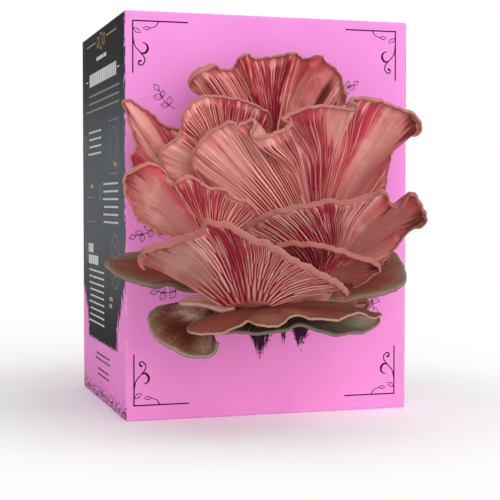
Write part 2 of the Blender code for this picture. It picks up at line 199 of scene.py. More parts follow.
# Dark tufts: (x, top, width, length), then what their strokes and specks are like
TUFTS = ((-6, 58, 23, 28), (7.8, 54, 6, 16), (17.5, 58, 21, 23))
STROKES_PER_MM = 9
SPECKS_PER_MM = 12
TUFT_POINT = 0.55
TUFT_REACH = (0.6, 1.0)
TUFT_FOOT = 0.3
TUFT_STRAY = 0.8
TUFT_BEND = 0.5
TUFT_WIDTHS = [0.8, 0.6, 0.12]
TUFT_STEPS = 5
SPECK_SPREAD = 0.55
SPECK_ACROSS = (0.3, 0.9)
SPECK_UP = (0.3, 0.8)

# Rows of dashes and blocks in place of text: (shortest, longest), gap and least rest
DASH = (2.5, 8.0)
DASH_GAP = 0.9
DASH_REST = 1.5
BLOCK = (4.5, 7.0)
BLOCK_GAP = 0.8
BLOCK_REST = 2
UNEVEN_END = 0.12

# The fused stem mass: (out, centre x, centre z, half x, half z), in millimetres
BASE_SECTIONS = [
    (8, -8, 99, 42.0, 36.0),
    (16, -7, 93, 39.0, 35.0),
    (24, -6, 87, 36.0, 30.0),
    (32, -6, 81, 33.0, 24.0),
    (40, -7, 75, 29.0, 17.0),
    (47, -9, 71, 21.0, 10.0),
    (51, -10, 70, 12.0, 5.0),
]
BASE_SIDES = 240
BASE_RINGS = 60
BASE_GAP = 0.3
LUMPS_AROUND = 3
LUMP_SIZE = 0.03
LUMP_TWIST = 5
FIBRE_SIZE = 0.35
FIBRE_WAVES = (1 / 31, 1 / 47, 1 / 83)
FIBRE_SEED = 5
SWELL_SIZE = 0.5
SWELL_WAVES = (1 / 7, 1 / 11)
SWELL_SEED = 8
SWELL_TWIST = 90
SWELL_START = 4

# Flesh palettes. Each dark tone is the colour the dark patches turn the flesh to, mostly as painted shade.
PINK_FLESH = {
    "crest": (0.78, 0.235, 0.195), "groove": (0.31, 0.010, 0.024), "flush": (0.57, 0.066, 0.085),
    "pale": (0.86, 0.44, 0.38), "lip": (0.55, 0.21, 0.175), "skin": (0.48, 0.165, 0.135),
    "edge": (0.45, 0.18, 0.150), "dark": (0.12, 0.011, 0.009), "smooth": (0.44, 0.125, 0.112),
    "deep": (0.44, 0.030, 0.060), "deep groove": (0.18, 0.005, 0.022),
}
# A rosier copy of the pink flesh, also made brighter as painted light, for the cap that lies in the shade
# of the caps above it.
ROSE_LIT_FLESH = {
    **PINK_FLESH, "crest": (0.82, 0.27, 0.235), "flush": (0.68, 0.095, 0.125),
    "smooth": (0.40, 0.125, 0.118), "deep": (0.62, 0.060, 0.095),
    "groove": (0.38, 0.024, 0.042), "deep groove": (0.30, 0.014, 0.036),
}
MAUVE_FLESH = {
    **PINK_FLESH, "crest": (0.70, 0.225, 0.185), "pale": (0.73, 0.44, 0.385),
    "lip": (0.42, 0.16, 0.125), "skin": (0.34, 0.105, 0.085), "edge": (0.34, 0.125, 0.100),
    "smooth": (0.32, 0.100, 0.086),
}
SHADED_FLESH = {**MAUVE_FLESH, "crest": (0.55, 0.135, 0.115), "pale": (0.60, 0.25, 0.215)}
BROWN_FLESH = {
    "crest": (0.42, 0.22, 0.17), "groove": (0.14, 0.03, 0.03), "flush": (0.28, 0.040, 0.024),
    "pale": (0.50, 0.29, 0.21), "lip": (0.20, 0.15, 0.10), "skin": (0.15, 0.050, 0.026),
    "edge": (0.170, 0.122, 0.080), "dark": (0.05, 0.010, 0.005), "smooth": (0.30, 0.13, 0.10),
    "deep": (0.26, 0.035, 0.025), "deep groove": (0.10, 0.01, 0.01),
}
# Its pale tone is made very light, as painted light where the fold above shades the lobe.
LOBE_FLESH = {**BROWN_FLESH, "pale": (0.80, 0.54, 0.41)}
SHELF_FLESH = {
    **BROWN_FLESH, "skin": (0.17, 0.070, 0.048), "edge": (0.35, 0.19, 0.145), "lip": (0.35, 0.19, 0.145),
}
FOLD_FLESH = {
    **MAUVE_FLESH, "skin": (0.50, 0.27, 0.225), "flush": (0.46, 0.15, 0.125), "edge": (0.44, 0.21, 0.17),
}
# Grey-green gills; the crest and groove are made lighter, as painted light in the shade under the shelf.
GREY_FLESH = {
    "crest": (0.38, 0.37, 0.27), "groove": (0.040, 0.040, 0.026), "flush": (0.20, 0.07, 0.05),
    "pale": (0.32, 0.30, 0.21), "lip": (0.17, 0.16, 0.11), "skin": (0.16, 0.10, 0.07),
    "edge": (0.16, 0.14, 0.10), "dark": (0.03, 0.02, 0.012), "smooth": (0.11, 0.095, 0.065),
    "deep": (0.20, 0.07, 0.05), "deep groove": (0.020, 0.020, 0.012),
}


CAP_DEFAULTS = {
    "bulge": -2.0, "curl": 2.6, "gills": 1, "neck": 5.0, "thick_root": 4.5, "thick_rim": 1.8,
    "calm": 160, "folds_from": 0.35, "ruffle": 0.7, "crinkle": 0.5, "rolls": [], "pleats": [],
    "fountain": 0.0, "wide": 1.0, "edge_from": 0.5, "edge_fade": 0.5,
    "smooth": [], "pale": [], "red": [], "dark": [],
}


class Cap:
    """One mushroom cap, as a fan from its root to its rim.

    root and every rim point are (x, z, out). The rim runs clockwise around the root as seen
    from the front. bulge lifts the middle of the sheet towards the viewer, and curl is the
    radius of the rolled lip, which turns towards the viewer, or away if negative. gills says
    on which side of the sheet the gills are: 1 is the viewer's, -1 the far side. neck is the
    radius of the arc where the sheet leaves its stem.

    The sheet is calm near the root: calm is how often the rim's shape is averaged out there,
    and the rim's folds begin at the share folds_from of the way. ruffle and crinkle are the
    heights of the rim's long and short waves. Each roll is (across, half width, how much
    larger the lip's radius is there), and each pleat (across, half width, how far the sheet
    comes forward at the rim).

    fountain, from 0 to 1, is how much the gills rise side by side before they part, and wide
    spreads their lower ends. Each patch in smooth, pale, red and dark is (across, along, half
    width, half length, amount), where across runs from 0 to 1 with the rim, and along from the
    root to the lip. Dark patches are mostly painted shade, in hollows, under lips and over the
    right-hand parts of the caps; some pale patches are painted light, and red patches at the lip
    are partly painted shade. The skin takes its edge colour from edge_from on, over a share
    edge_fade.
    """

    def __init__(self, name, slot, palette, root, stem_to, rim, **more):
        self.name = name
        self.slot = slot
        self.palette = palette
        self.root = np.array(root, float)
        self.stem_to = np.array(stem_to, float)
        self.rim = rim
        for key, default in CAP_DEFAULTS.items():
            setattr(self, key, more.get(key, default))


# Caps. In their patch lists, dark patches are mostly painted shade, and red patches just under a lip are
# partly painted shade.
CAPS = [
    Cap(
        "cap_top", "gill_flesh", PINK_FLESH, (-4, 126, 16), (-6, 112, 4),
        [
            (-44.5, 175.5, 20), (-48.5, 179, 21), (-51.5, 183.5, 24), (-50, 187, 28), (-45, 189, 28),
            (-40, 189.5, 26), (-37.5, 188, 23), (-33.5, 188, 22), (-28, 189, 22), (-26.5, 192.5, 25),
            (-25.5, 195.5, 31), (-22.5, 195, 28), (-18, 194.5, 24), (-12, 195, 22), (-5.5, 196, 22),
            (-1, 196.5, 25), (2, 197.5, 30), (6.5, 197, 25), (12.5, 195.5, 22), (15.5, 196, 25),
            (17, 197, 29), (20.5, 195.5, 25), (25.5, 193.5, 22), (30, 190.5, 21), (33.5, 187.5, 20),
            (35, 182, 20), (36, 175.5, 21), (36.5, 172, 20),
        ],
        curl=1.0, thick_rim=1.2, fountain=0.9, wide=2.0,
        rolls=[(0.12, 0.12, 1.8), (0.95, 0.05, 2.0)],
        pleats=[
            (0.3, 0.03, -1.0), (0.365, 0.035, 3.0), (0.47, 0.05, -2.0), (0.59, 0.03, 2.5),
            (0.68, 0.04, -2.0), (0.755, 0.03, 2.0), (0.82, 0.03, -1.5),
        ],
        smooth=[(0.79, 0.85, 0.11, 0.5, 1.0)],
        pale=[(0.945, 0.97, 0.03, 0.2, 1.0), (0.22, 0.7, 0.08, 0.3, 0.5)],
        red=[
            (0.5, 0.6, 0.12, 0.5, 1.0), (0.365, 0.93, 0.035, 0.15, 1.0),
            (0.59, 0.94, 0.03, 0.12, 0.9), (0.755, 0.95, 0.025, 0.1, 0.8),
            (0.1, 0.95, 0.08, 0.15, 0.9), (0.84, 0.7, 0.04, 0.3, 0.7),
        ],
        # These dark patches are painted shade on the right-hand part of the cap.
        dark=[(0.885, 0.76, 0.018, 0.2, 1.0), (0.97, 0.8, 0.02, 0.3, 0.3)],
    ),
    Cap(
        "cap_upper_left", "gill_flesh", PINK_FLESH, (-26, 119, 27), (-14, 100, 8),
        [
            (-66, 130, 28), (-68, 135, 30), (-70, 140, 32), (-71, 144, 34), (-68, 147, 34),
            (-63, 150.5, 33), (-59.5, 155, 33), (-59, 159.5, 34), (-59, 163.5, 35), (-56, 167.5, 37),
            (-53, 170.5, 38), (-49, 172.5, 38), (-45, 173, 38), (-36.5, 172.5, 38), (-29, 171.5, 38),
            (-23.5, 170, 38), (-18, 167.5, 38), (-14.5, 166, 37), (-11.5, 162.5, 35), (-10, 158, 33),
        ],
        curl=0.9, thick_rim=1.2, fountain=0.6, rolls=[(0.1, 0.1, 0.8)],
        pleats=[(0.325, 0.03, -2.0), (0.26, 0.04, 1.5), (0.4, 0.05, 1.5)],
        smooth=[(0.12, 0.85, 0.12, 0.4, 0.8)],
        pale=[(0.15, 0.85, 0.12, 0.3, 0.9), (0.5, 0.75, 0.12, 0.35, 0.9), (0.8, 0.6, 0.1, 0.3, 0.5)],
        red=[(0.74, 0.94, 0.2, 0.12, 1.0), (0.33, 0.8, 0.03, 0.25, 0.8), (0.7, 0.4, 0.2, 0.3, 0.6)],
    ),
    Cap(
        "cap_left_tip", "gill_flesh", PINK_FLESH, (-50, 122, 16), (-22, 108, 4),
        [
            (-78, 126, 16), (-82, 136.5, 18), (-83, 142, 19), (-80.5, 147, 20), (-81.5, 152, 20),
            (-84, 159.5, 21), (-85.5, 165.5, 24), (-88.5, 170.5, 28), (-84.5, 170, 26), (-79.5, 167.5, 23),
            (-72, 164.5, 20), (-65.5, 159, 19), (-60, 157, 18), (-54.5, 157.5, 17),
        ],
        bulge=1.0, curl=0.9, calm=60, thick_rim=1.2, fountain=0.2,
        pleats=[(0.2, 0.05, 1.6), (0.3, 0.05, -1.6), (0.4, 0.05, 1.4)],
        smooth=[(0.4, 0.6, 0.4, 0.9, 1.0)],
        pale=[(0.64, 0.68, 0.07, 0.5, 0.8), (0.35, 0.6, 0.07, 0.4, 0.8), (0.5, 0.9, 0.1, 0.2, 0.6)],
        red=[
            (0.17, 0.95, 0.06, 0.25, 1.0), (0.815, 0.7, 0.08, 0.3, 1.0), (0.48, 0.6, 0.03, 0.4, 0.8),
            (0.28, 0.7, 0.03, 0.3, 0.9),
        ],
    ),
    Cap(
        "cap_right", "gill_flesh", PINK_FLESH, (16, 86, 32), (8, 88, 10),
        [
            (-48.5, 129, 34), (-52, 133.5, 36), (-55, 138.5, 38), (-55.5, 143.5, 40), (-53.5, 147.5, 42),
            (-50.5, 151.5, 44), (-46.5, 155, 45), (-42, 157.5, 46), (-38, 160, 47), (-35.5, 159, 49),
            (-34.5, 156.5, 52), (-32.5, 158.5, 50), (-28.5, 160, 48), (-25.5, 161, 49), (-25, 159.5, 52),
            (-27, 156, 55), (-29.5, 153.5, 58), (-28.5, 151, 60), (-24.5, 151.5, 61), (-20.5, 152.5, 61),
            (-16, 154, 60), (-13, 155.5, 60), (-9.5, 157.5, 58), (-9, 159.5, 54), (-11, 161, 51),
            (-8, 163, 48), (-3, 165, 46), (3, 167.5, 46), (9.5, 168.5, 47), (17.5, 168.5, 48),
            (23.5, 167.5, 49), (28, 167, 51), (29.5, 168, 53), (28.5, 170, 52), (27.5, 170.5, 49),
            (28.5, 172.5, 47), (33, 173.5, 45), (41, 173.5, 44), (47, 172.5, 43), (54.5, 170, 42),
            (60, 168, 43), (65.5, 166, 43), (68, 163.5, 43), (69.5, 159.5, 43), (69, 156, 41),
            (65, 154.5, 39), (61, 153, 36), (59, 149.5, 34), (58, 145, 32), (57.5, 139.5, 31),
            (57, 135, 30), (56, 126, 28),
        ],
        bulge=-2.5, curl=1.3, thick_root=4.0, thick_rim=1.3, fountain=0.8, wide=2.0,
        calm=500, folds_from=0.6,
        rolls=[(0.7, 0.03, 1.0), (0.81, 0.05, 0.7), (0.96, 0.12, -0.8)],
        pleats=[(0.1, 0.04, 1.2), (0.17, 0.04, 1.2), (0.75, 0.04, -2.0), (0.87, 0.04, -1.5)],
        smooth=[(0.59, 0.93, 0.035, 0.17, 1.0), (0.83, 0.85, 0.1, 0.5, 0.9), (0.08, 0.85, 0.08, 0.2, 0.5)],
        # The pale patch at 0.32 across is painted light.
        pale=[
            (0.59, 0.93, 0.04, 0.17, 0.6), (0.1, 0.7, 0.08, 0.45, 0.8), (0.2, 0.6, 0.06, 0.4, 0.8),
            (0.32, 0.55, 0.08, 0.5, 0.9), (0.78, 0.6, 0.05, 0.4, 0.5),
        ],
        red=[
            (0.07, 0.97, 0.08, 0.09, 0.9), (0.44, 0.8, 0.08, 0.3, 0.9), (0.485, 0.43, 0.1, 0.35, 1.0),
            (0.71, 0.86, 0.03, 0.22, 1.0), (0.76, 0.98, 0.06, 0.08, 0.8), (0.2, 0.88, 0.03, 0.15, 0.8),
            (0.9, 0.9, 0.05, 0.2, 0.5),
        ],
        # These dark patches are painted shade: the hollow under the right lobe's lip, the right-hand part
        # and places under the lips.
        dark=[
            (0.83, 1.0, 0.03, 0.06, 0.85), (0.9, 0.75, 0.13, 0.8, 0.34), (0.45, 0.93, 0.1, 0.14, 0.3),
            (0.62, 0.9, 0.06, 0.2, 0.12),
        ],
    ),
    Cap(
        "cap_left", "gill_flesh", ROSE_LIT_FLESH, (-45, 92, 38), (-20, 85, 12),
        [
            (-71.5, 101.5, 36), (-75, 105, 37), (-83, 110, 38), (-86.5, 116, 42), (-90, 121, 44),
            (-91.5, 125.5, 46), (-91.5, 132.5, 50), (-86.5, 135.5, 53), (-81.5, 138, 56),
            (-78.5, 137.5, 55), (-75, 136, 53), (-71.5, 133, 52), (-70.5, 130, 52), (-68, 128.5, 53),
            (-67, 128.5, 55), (-66, 130.5, 60), (-63.5, 131.5, 60), (-59.5, 131.5, 58), (-56.5, 130, 57),
            (-54, 128, 56), (-50, 126.5, 55), (-46, 126, 56), (-42.5, 126.5, 58), (-40.5, 124, 57),
            (-38, 122, 56), (-34, 120.5, 56), (-30.5, 119.5, 57), (-27, 117.5, 56), (-24.5, 114.5, 55),
            (-22.5, 111.5, 54),
        ],
        bulge=-1.0, curl=1.2, thick_rim=1.2, fountain=0.5, rolls=[(0.08, 0.14, -0.5)],
        pleats=[(0.48, 0.05, -1.5), (0.65, 0.03, 1.0), (0.8, 0.03, 1.0)],
        smooth=[(0.24, 0.7, 0.2, 0.8, 1.0)],
        # The pale patch at 0.92 across is painted light, where the caps above shade this one.
        pale=[
            (0.27, 0.6, 0.1, 0.4, 0.3), (0.92, 0.75, 0.1, 0.4, 0.9), (0.52, 0.45, 0.05, 0.4, 0.8),
            (0.12, 0.8, 0.06, 0.3, 0.4),
        ],
        red=[
            (0.32, 0.97, 0.07, 0.1, 0.5), (0.47, 0.99, 0.08, 0.1, 0.9), (0.64, 0.85, 0.12, 0.3, 1.0),
            (0.2, 0.99, 0.05, 0.08, 0.3), (0.42, 0.6, 0.03, 0.4, 0.6), (0.03, 0.7, 0.05, 0.4, 0.6),
        ],
        # These dark patches at the rim are painted shade.
        dark=[(0.31, 1.0, 0.05, 0.08, 0.5), (0.15, 0.97, 0.2, 0.1, 0.25)],
    ),
    Cap(
        "cap_right_mid", "gill_flesh", MAUVE_FLESH, (20, 76, 37), (14, 80, 16),
        [
            (-28, 102, 50), (-31, 106, 52), (-27.5, 109, 55), (-23.5, 112.5, 59), (-18, 115, 61),
            (-11, 116.5, 62), (-4.5, 117.5, 63), (1, 118.5, 63), (6.5, 119.5, 63), (10, 120.5, 63),
            (15, 120, 62), (18.5, 119.5, 62), (25.5, 121, 61), (32.5, 122.5, 60), (37, 123.5, 61),
            (39, 125.5, 63), (42.5, 124, 60), (46, 120, 56), (48.5, 118, 55), (52, 117.5, 54),
            (54, 118.5, 57), (56, 121.5, 59), (56.5, 124, 61), (60, 122.5, 60), (61.5, 120.5, 59),
            (63.5, 119, 58), (64.5, 116.5, 57), (66.5, 114, 56), (68.5, 110.5, 54), (69, 107.5, 51),
            (67, 106.5, 49), (64, 106, 47), (62, 103.5, 45), (59, 99, 44), (55.5, 93, 42),
            (52, 88, 40), (49.5, 85, 38),
        ],
        curl=1.7, thick_rim=1.4, crinkle=0.6, fountain=0.7, calm=400, folds_from=0.6,
        rolls=[(0.95, 0.13, -1.1), (0.78, 0.05, -0.5)],
        pleats=[(0.655, 0.04, -1.0), (0.72, 0.04, 1.0), (0.6, 0.03, 0.8)],
        smooth=[(0.76, 0.6, 0.22, 0.9, 1.0)],
        pale=[(0.42, 0.65, 0.08, 0.5, 0.9), (0.12, 0.9, 0.1, 0.15, 0.6)],
        red=[(0.27, 0.75, 0.12, 0.45, 1.0), (0.66, 0.97, 0.05, 0.08, 0.8), (0.83, 0.95, 0.05, 0.2, 0.8)],
        # These dark patches are painted shade: a hollow under the lip, and the right-hand part.
        dark=[
            (0.79, 0.99, 0.04, 0.1, 0.85), (0.75, 0.75, 0.14, 0.6, 0.3),
        ],
    ),
    Cap(
        "cap_right_low", "gill_flesh", SHADED_FLESH, (8, 75, 51), (3, 77, 32),
        [
            (-15, 95.5, 61), (-17.5, 98.5, 63), (-13.5, 99, 64), (-11, 99.5, 66), (-6.5, 99, 68),
            (-1.5, 99, 70), (3.5, 98, 71), (8.5, 97, 72), (14, 95.5, 72), (19.5, 93.5, 70), (26, 92, 68),
            (32.5, 90, 66), (36.5, 88, 64), (39.5, 86, 62), (39.5, 83.5, 61), (37, 81.5, 59),
            (33.5, 78.5, 57), (29, 75.5, 54),
        ],
        bulge=-1.5, curl=1.6, neck=4.0, thick_rim=1.4, fountain=0.4,
        smooth=[(0.86, 0.6, 0.2, 0.8, 0.9)],
        red=[(0.25, 0.6, 0.25, 0.7, 1.0), (0.6, 0.95, 0.2, 0.1, 0.7)],
        dark=[
            (0.79, 0.99, 0.05, 0.07, 0.8), (0.1, 0.75, 0.2, 0.6, 0.45), (0.85, 0.7, 0.2, 0.7, 0.4),
        ],
    ),
    Cap(
        "cap_front", "gill_flesh", MAUVE_FLESH, (-32, 65, 57), (-22, 76, 34),
        [
            (-88.5, 89, 70), (-90.5, 91.5, 72), (-88.5, 94, 73), (-89, 97.5, 75), (-84, 98.5, 76),
            (-81.5, 99.5, 76), (-78, 99.5, 77), (-74.5, 100.5, 77), (-71.5, 101.5, 78), (-68.5, 103, 79),
            (-65, 104.5, 80), (-62, 107, 82), (-60.5, 110, 84), (-59.5, 111.5, 87), (-56.5, 110, 85),
            (-52, 109.5, 84), (-48, 110, 84), (-46, 108, 84), (-42.5, 106, 85), (-38, 103.5, 86),
            (-33.5, 101.5, 86), (-30.5, 101, 87), (-27.5, 99.5, 87), (-23, 97, 87), (-18.5, 93.5, 86),
            (-13, 91, 86), (-7.5, 88.5, 85), (-1.5, 85.5, 83), (5.5, 82, 82), (9.5, 80, 81),
            (13, 77.5, 79), (16, 74, 77), (13, 73, 74),
        ],
        curl=2.1, neck=5.0, wide=2.6, thick_rim=1.4, crinkle=0.7, fountain=0.35,
        pleats=[(0.2, 0.05, -1.5), (0.3, 0.04, 1.0)],
        smooth=[(0.1, 0.75, 0.12, 0.4, 0.9)],
        pale=[
            (0.15, 0.6, 0.1, 0.5, 0.6), (0.82, 0.5, 0.2, 0.6, 1.0), (0.62, 0.4, 0.08, 0.5, 0.8),
            (0.27, 0.5, 0.05, 0.4, 0.8), (0.5, 0.3, 0.05, 0.3, 0.5),
        ],
        red=[
            (0.38, 0.6, 0.085, 0.7, 1.0), (0.375, 0.96, 0.05, 0.08, 0.9), (0.26, 0.2, 0.12, 0.12, 0.8),
            (0.48, 0.75, 0.04, 0.3, 0.6),
        ],
        dark=[
            (0.1, 0.7, 0.12, 0.6, 0.4), (0.13, 0.98, 0.04, 0.05, 0.4), (0.39, 0.55, 0.04, 0.4, 0.2),
        ],
    ),
    Cap(
        "cap_low_left", "brown_skin", BROWN_FLESH, (-44, 80, 28), (-22, 80, 12),
        [
            (-46, 71, 32), (-60, 73, 37), (-67, 76, 40), (-75, 76, 42), (-83, 78, 42), (-92, 81, 42),
            (-100, 88, 42), (-95, 90, 38), (-90, 92, 36), (-82, 93, 34), (-68, 93, 30),
        ],
        bulge=2.0, curl=-1.2, gills=-1, neck=4.0, calm=60, thick_rim=1.2, ruffle=0.2,
        crinkle=0.25, edge_from=0.74, edge_fade=0.35,
        red=[(0.3, 0.5, 0.3, 0.4, 0.9), (0.6, 0.5, 0.3, 0.4, 0.9)],
        dark=[(0.5, 0.4, 0.6, 0.7, 0.45)],
    ),
    Cap(
        "cap_bottom_left", "brown_skin", LOBE_FLESH, (-43, 63, 35), (-26, 72, 18),
        [
            (-49, 49, 66), (-52, 44, 69), (-58, 43, 70), (-65, 44, 70), (-71, 47, 68),
            (-76, 50, 64), (-79, 53, 59), (-80, 58, 52), (-79, 62, 46), (-74, 65, 40),
            (-64, 66, 35),
        ],
        bulge=2.0, curl=-0.9, gills=-1, neck=4.0, thick_rim=1.1, ruffle=0.3, crinkle=0.25,
        edge_from=0.8, edge_fade=0.3,
        # The first pale patch is painted light, where the fold above shades the lobe; the second gives
        # pale flecks.
        pale=[(0.66, 0.25, 0.3, 0.3, 1.0), (0.14, 0.7, 0.1, 0.25, 0.45)],
        red=[(0.35, 0.6, 0.2, 0.4, 0.6)],
        dark=[(0.6, 0.7, 0.3, 0.2, 0.55), (0.35, 0.65, 0.2, 0.25, 0.35)],
    ),
    Cap(
        "cap_fold", "gill_flesh", FOLD_FLESH, (-34, 64.5, 46), (-22, 69, 34),
        [
            (-38, 65.5, 58), (-45, 64.5, 60), (-53, 67, 56), (-64, 68, 49), (-58, 70.5, 45),
            (-47, 71, 44),
        ],
        bulge=1.0, curl=-0.6, gills=-1, neck=2.6, thick_root=3.0, thick_rim=1.2,
        ruffle=0.2, crinkle=0.2, edge_from=0.9,
    ),
    Cap(
        "cap_bottom", "brown_skin", SHELF_FLESH, (-12, 64, 46), (-12, 72, 30),
        [
            (20, 66, 52), (28, 64, 62), (32, 62, 74), (33, 62, 80), (26, 61, 84),
            (20, 63, 86), (12, 63, 88), (3, 61, 92), (-4, 62, 92), (-10, 62, 94),
            (-15, 64, 91), (-18, 64, 91), (-23, 61, 94), (-33, 60, 97), (-38, 60, 96),
            (-41, 62, 92), (-45, 60, 94), (-48, 59, 91), (-53, 57, 91), (-58, 56, 90),
            (-64, 56, 88), (-68, 57, 86), (-67, 58, 78), (-60, 60, 66), (-48, 61, 54),
        ],
        bulge=1.0, curl=-0.35, gills=-1, neck=4.0, thick_rim=0.7, crinkle=0.3, edge_from=1.0,
        pale=[(0.5, 0.8, 0.1, 0.15, 0.25)],
        red=[(0.62, 0.6, 0.3, 0.35, 0.7), (0.3, 0.5, 0.2, 0.4, 0.4)],
        dark=[(0.18, 0.95, 0.13, 0.3, 0.3), (0.9, 0.8, 0.1, 0.4, 0.3)],
    ),
    Cap(
        "cap_under", "grey_gills", GREY_FLESH, (-5, 57, 36), (-8, 71, 20),
        [
            (42, 60, 56), (41, 55, 58), (36, 52, 60), (28, 50, 62), (19, 50, 64),
            (10, 51, 64), (3, 53, 62), (-4, 55, 62), (-13, 53, 63), (-22, 52, 64),
            (-29, 52, 63), (-37, 52, 60), (-44, 52, 55), (-43, 55, 46),
        ],
        bulge=3.0, curl=0.7, neck=4.0, thick_rim=1.0, crinkle=0.3,
        smooth=[(0.1, 0.7, 0.25, 0.8, 0.9), (0.4, 0.7, 0.15, 0.8, 0.5)],
        red=[(0.02, 0.95, 0.04, 0.3, 1.0)],
        # This dark patch is painted shade between the shelf above, the gills and the tufts.
        dark=[(0.62, 0.6, 0.3, 0.6, 0.5)],
    ),
    Cap(
        "cap_low_right", "brown_skin", BROWN_FLESH, (33, 74, 24), (14, 74, 6),
        [
            (58, 95, 25), (61, 92, 26), (64, 90, 28), (65.5, 87, 29), (66.5, 83, 32), (67, 77.5, 34),
            (66, 75, 35), (62.5, 73, 37), (56, 71, 38), (49.5, 69.5, 39), (45.5, 69, 40), (38.5, 68, 39),
            (31.5, 66.5, 38), (24, 66, 38), (16, 66.5, 37), (9, 67.5, 34),
        ],
        bulge=2.0, curl=-1.2, gills=-1, neck=4.0, thick_rim=1.2, ruffle=0.3, crinkle=0.25,
        edge_from=0.8, edge_fade=0.35,
        red=[(0.55, 0.5, 0.35, 0.45, 1.0)],
        dark=[(0.5, 0.45, 0.5, 0.45, 0.45)],
    ),
    Cap(
        "cap_small_right", "gill_flesh", MAUVE_FLESH, (13, 64, 16), (0, 74, 6),
        [
            (30, 67, 20), (37, 66, 23), (44, 66, 26), (49, 63, 28), (47, 59, 27),
            (41, 57, 25), (32, 55, 21),
        ],
        bulge=0.5, curl=2.0, neck=2.6, calm=40, thick_root=3.0, thick_rim=1.2, ruffle=0.2,
        red=[(0.3, 0.6, 0.3, 0.7, 1.0)],
    ),
]


# Curves


def smooth_step(value):
    value = np.clip(value, 0, 1)
    return value * value * (3 - 2 * value)


def unit(vectors):
    return vectors / np.maximum(np.linalg.norm(vectors, axis=-1, keepdims=True), TINY)


def along(curve):
    """Each point's share of the curve's length."""
    run = np.concatenate([[0], np.cumsum(np.linalg.norm(np.diff(curve, axis=0), axis=1))])
    return run / run[-1]


def length_of(curve):
    return np.linalg.norm(np.diff(curve, axis=0), axis=1).sum()


def picked(curve, index):
    """The curve's points at fractional places in its list."""
    places = np.arange(len(curve))
    return np.stack([np.interp(index, places, column) for column in curve.T], axis=1)


def resampled(curve, count):
    index = np.interp(np.linspace(0, 1, count), along(curve), np.arange(len(curve)))
    return picked(curve, index)


def spline(points, count):
    """count points, evenly spaced along a smooth curve through the given ones."""
    points = np.array(points, float)
    knots = along(points)
    slopes = np.gradient(points, knots, axis=0)
    fine = np.linspace(0, 1, SPLINE_STEPS * count)
    span = np.clip(np.searchsorted(knots, fine, side="right") - 1, 0, len(points) - 2)
    length = (knots[span + 1] - knots[span])[:, None]
    t = (fine - knots[span])[:, None] / length
    curve = (
        (2 * t**3 - 3 * t**2 + 1) * points[span]
        + (t**3 - 2 * t**2 + t) * length * slopes[span]
        + (3 * t**2 - 2 * t**3) * points[span + 1]
        + (t**3 - t**2) * length * slopes[span + 1]
    )
    return resampled(curve, count)


def smoothed(curve, passes):
    """The curve with its small waves averaged out, its ends kept."""
    curve = curve.copy()
    for _ in range(passes):
        curve[1:-1] = curve[1:-1] / 2 + (curve[:-2] + curve[2:]) / 4
    return curve


def waves(values, wavelengths, seed):
    """A sum of sine waves of these wavelengths, with seeded phases, about -1 to 1."""
    phases = np.random.default_rng(seed).uniform(0, 2 * np.pi, len(wavelengths))
    total = sum(np.sin(2 * np.pi * values / w + p) for w, p in zip(wavelengths, phases))
    return total / len(wavelengths)


def to_world(points):
    """Places in metres from rows of (x, z, out) in millimetres."""
    points = np.asarray(points, float) * MM
    return np.stack([points[..., 0], FRONT_Y - points[..., 2], points[..., 1]], axis=-1)


# Sheets of the caps


def rim_columns(cap, columns):
    """The cap's rim at each column: as it is, without its small folds, and calmed."""
    rim = spline(cap.rim, SPLINE_SAMPLES)
    coarse = spline(cap.rim, CALM_SAMPLES)
    passes = round(2 * (SMALL_FOLD * CALM_SAMPLES / length_of(rim)) ** 2)
    soft = spline(smoothed(coarse, passes), SPLINE_SAMPLES)
    calm = spline(smoothed(coarse, max(cap.calm, 2 * passes)), SPLINE_SAMPLES)
    # Columns keep their distance more on the calm rim than on the real one
    shares = (along(rim) + 2 * along(calm)) / 3
    index = np.interp(np.linspace(0, 1, columns + 1), shares, np.arange(SPLINE_SAMPLES))
    return picked(rim, index), picked(soft, index), picked(calm, index)


def cap_frame(cap, normal):
    """The cap's mean directions from its root to its rim, and towards the rim's start."""
    facing = unit(normal.mean(axis=0))
    rim = np.array(cap.rim, float)
    up = unit((rim - cap.root).mean(axis=0))
    up = unit(up - facing * (facing @ up))
    start = np.cross(facing, up)
    return up, start * np.sign(start @ (rim[0] - rim[-1]))


def neck_arc(cap, spoke, normal):
    """Points on an even arc around the root, where the sheet leaves the stem."""
    up, start = cap_frame(cap, normal)
    first, last = (np.arctan2(spoke[end] @ start, spoke[end] @ up) for end in (0, -1))
    angle = np.linspace(min(first, NECK_SPREAD), max(last, -NECK_SPREAD), len(spoke))[:, None]
    return cap.root + cap.neck * (np.cos(angle) * up + cap.wide * np.sin(angle) * start)


def humps(across, places):
    """Smooth humps summed along the rim, from (centre, half width, height)."""
    total = np.zeros(len(across))
    for centre, half_width, height in places:
        total += height * smooth_step(1 - np.abs(across - centre) / half_width)
    return total[:, None]


def rim_directions(cap, calm):
    """At each column: from the root to the rim, out of the sheet, and outward along it."""
    spoke = calm - cap.root
    tangent = unit(np.gradient(calm, axis=0))
    normal = unit(np.cross(tangent, spoke))
    outward = unit(np.cross(normal, tangent) + unit(spoke))
    return spoke, normal, outward


def sheet_edges(cap, rims, normal, outward, roll, seed):
    """Where the lip begins to roll: with all the rim's folds, with its large ones, and calm."""
    rim, soft, calm = rims
    place = along(rim)[:, None] * length_of(rim)
    rim = rim + outward * cap.crinkle * waves(place, CRINKLE_WAVES, seed)
    rim = rim + normal * cap.crinkle * waves(place, SWAY_WAVES, seed + 1)
    ruffle = normal * cap.ruffle * waves(place, RUFFLE_WAVES, seed + 2)
    inset = outward * (roll + cap.thick_rim / 2)
    pleats = normal * humps(np.linspace(0, 1, len(rim)), cap.pleats)
    return rim - inset + ruffle + pleats, soft - inset + ruffle, calm - inset


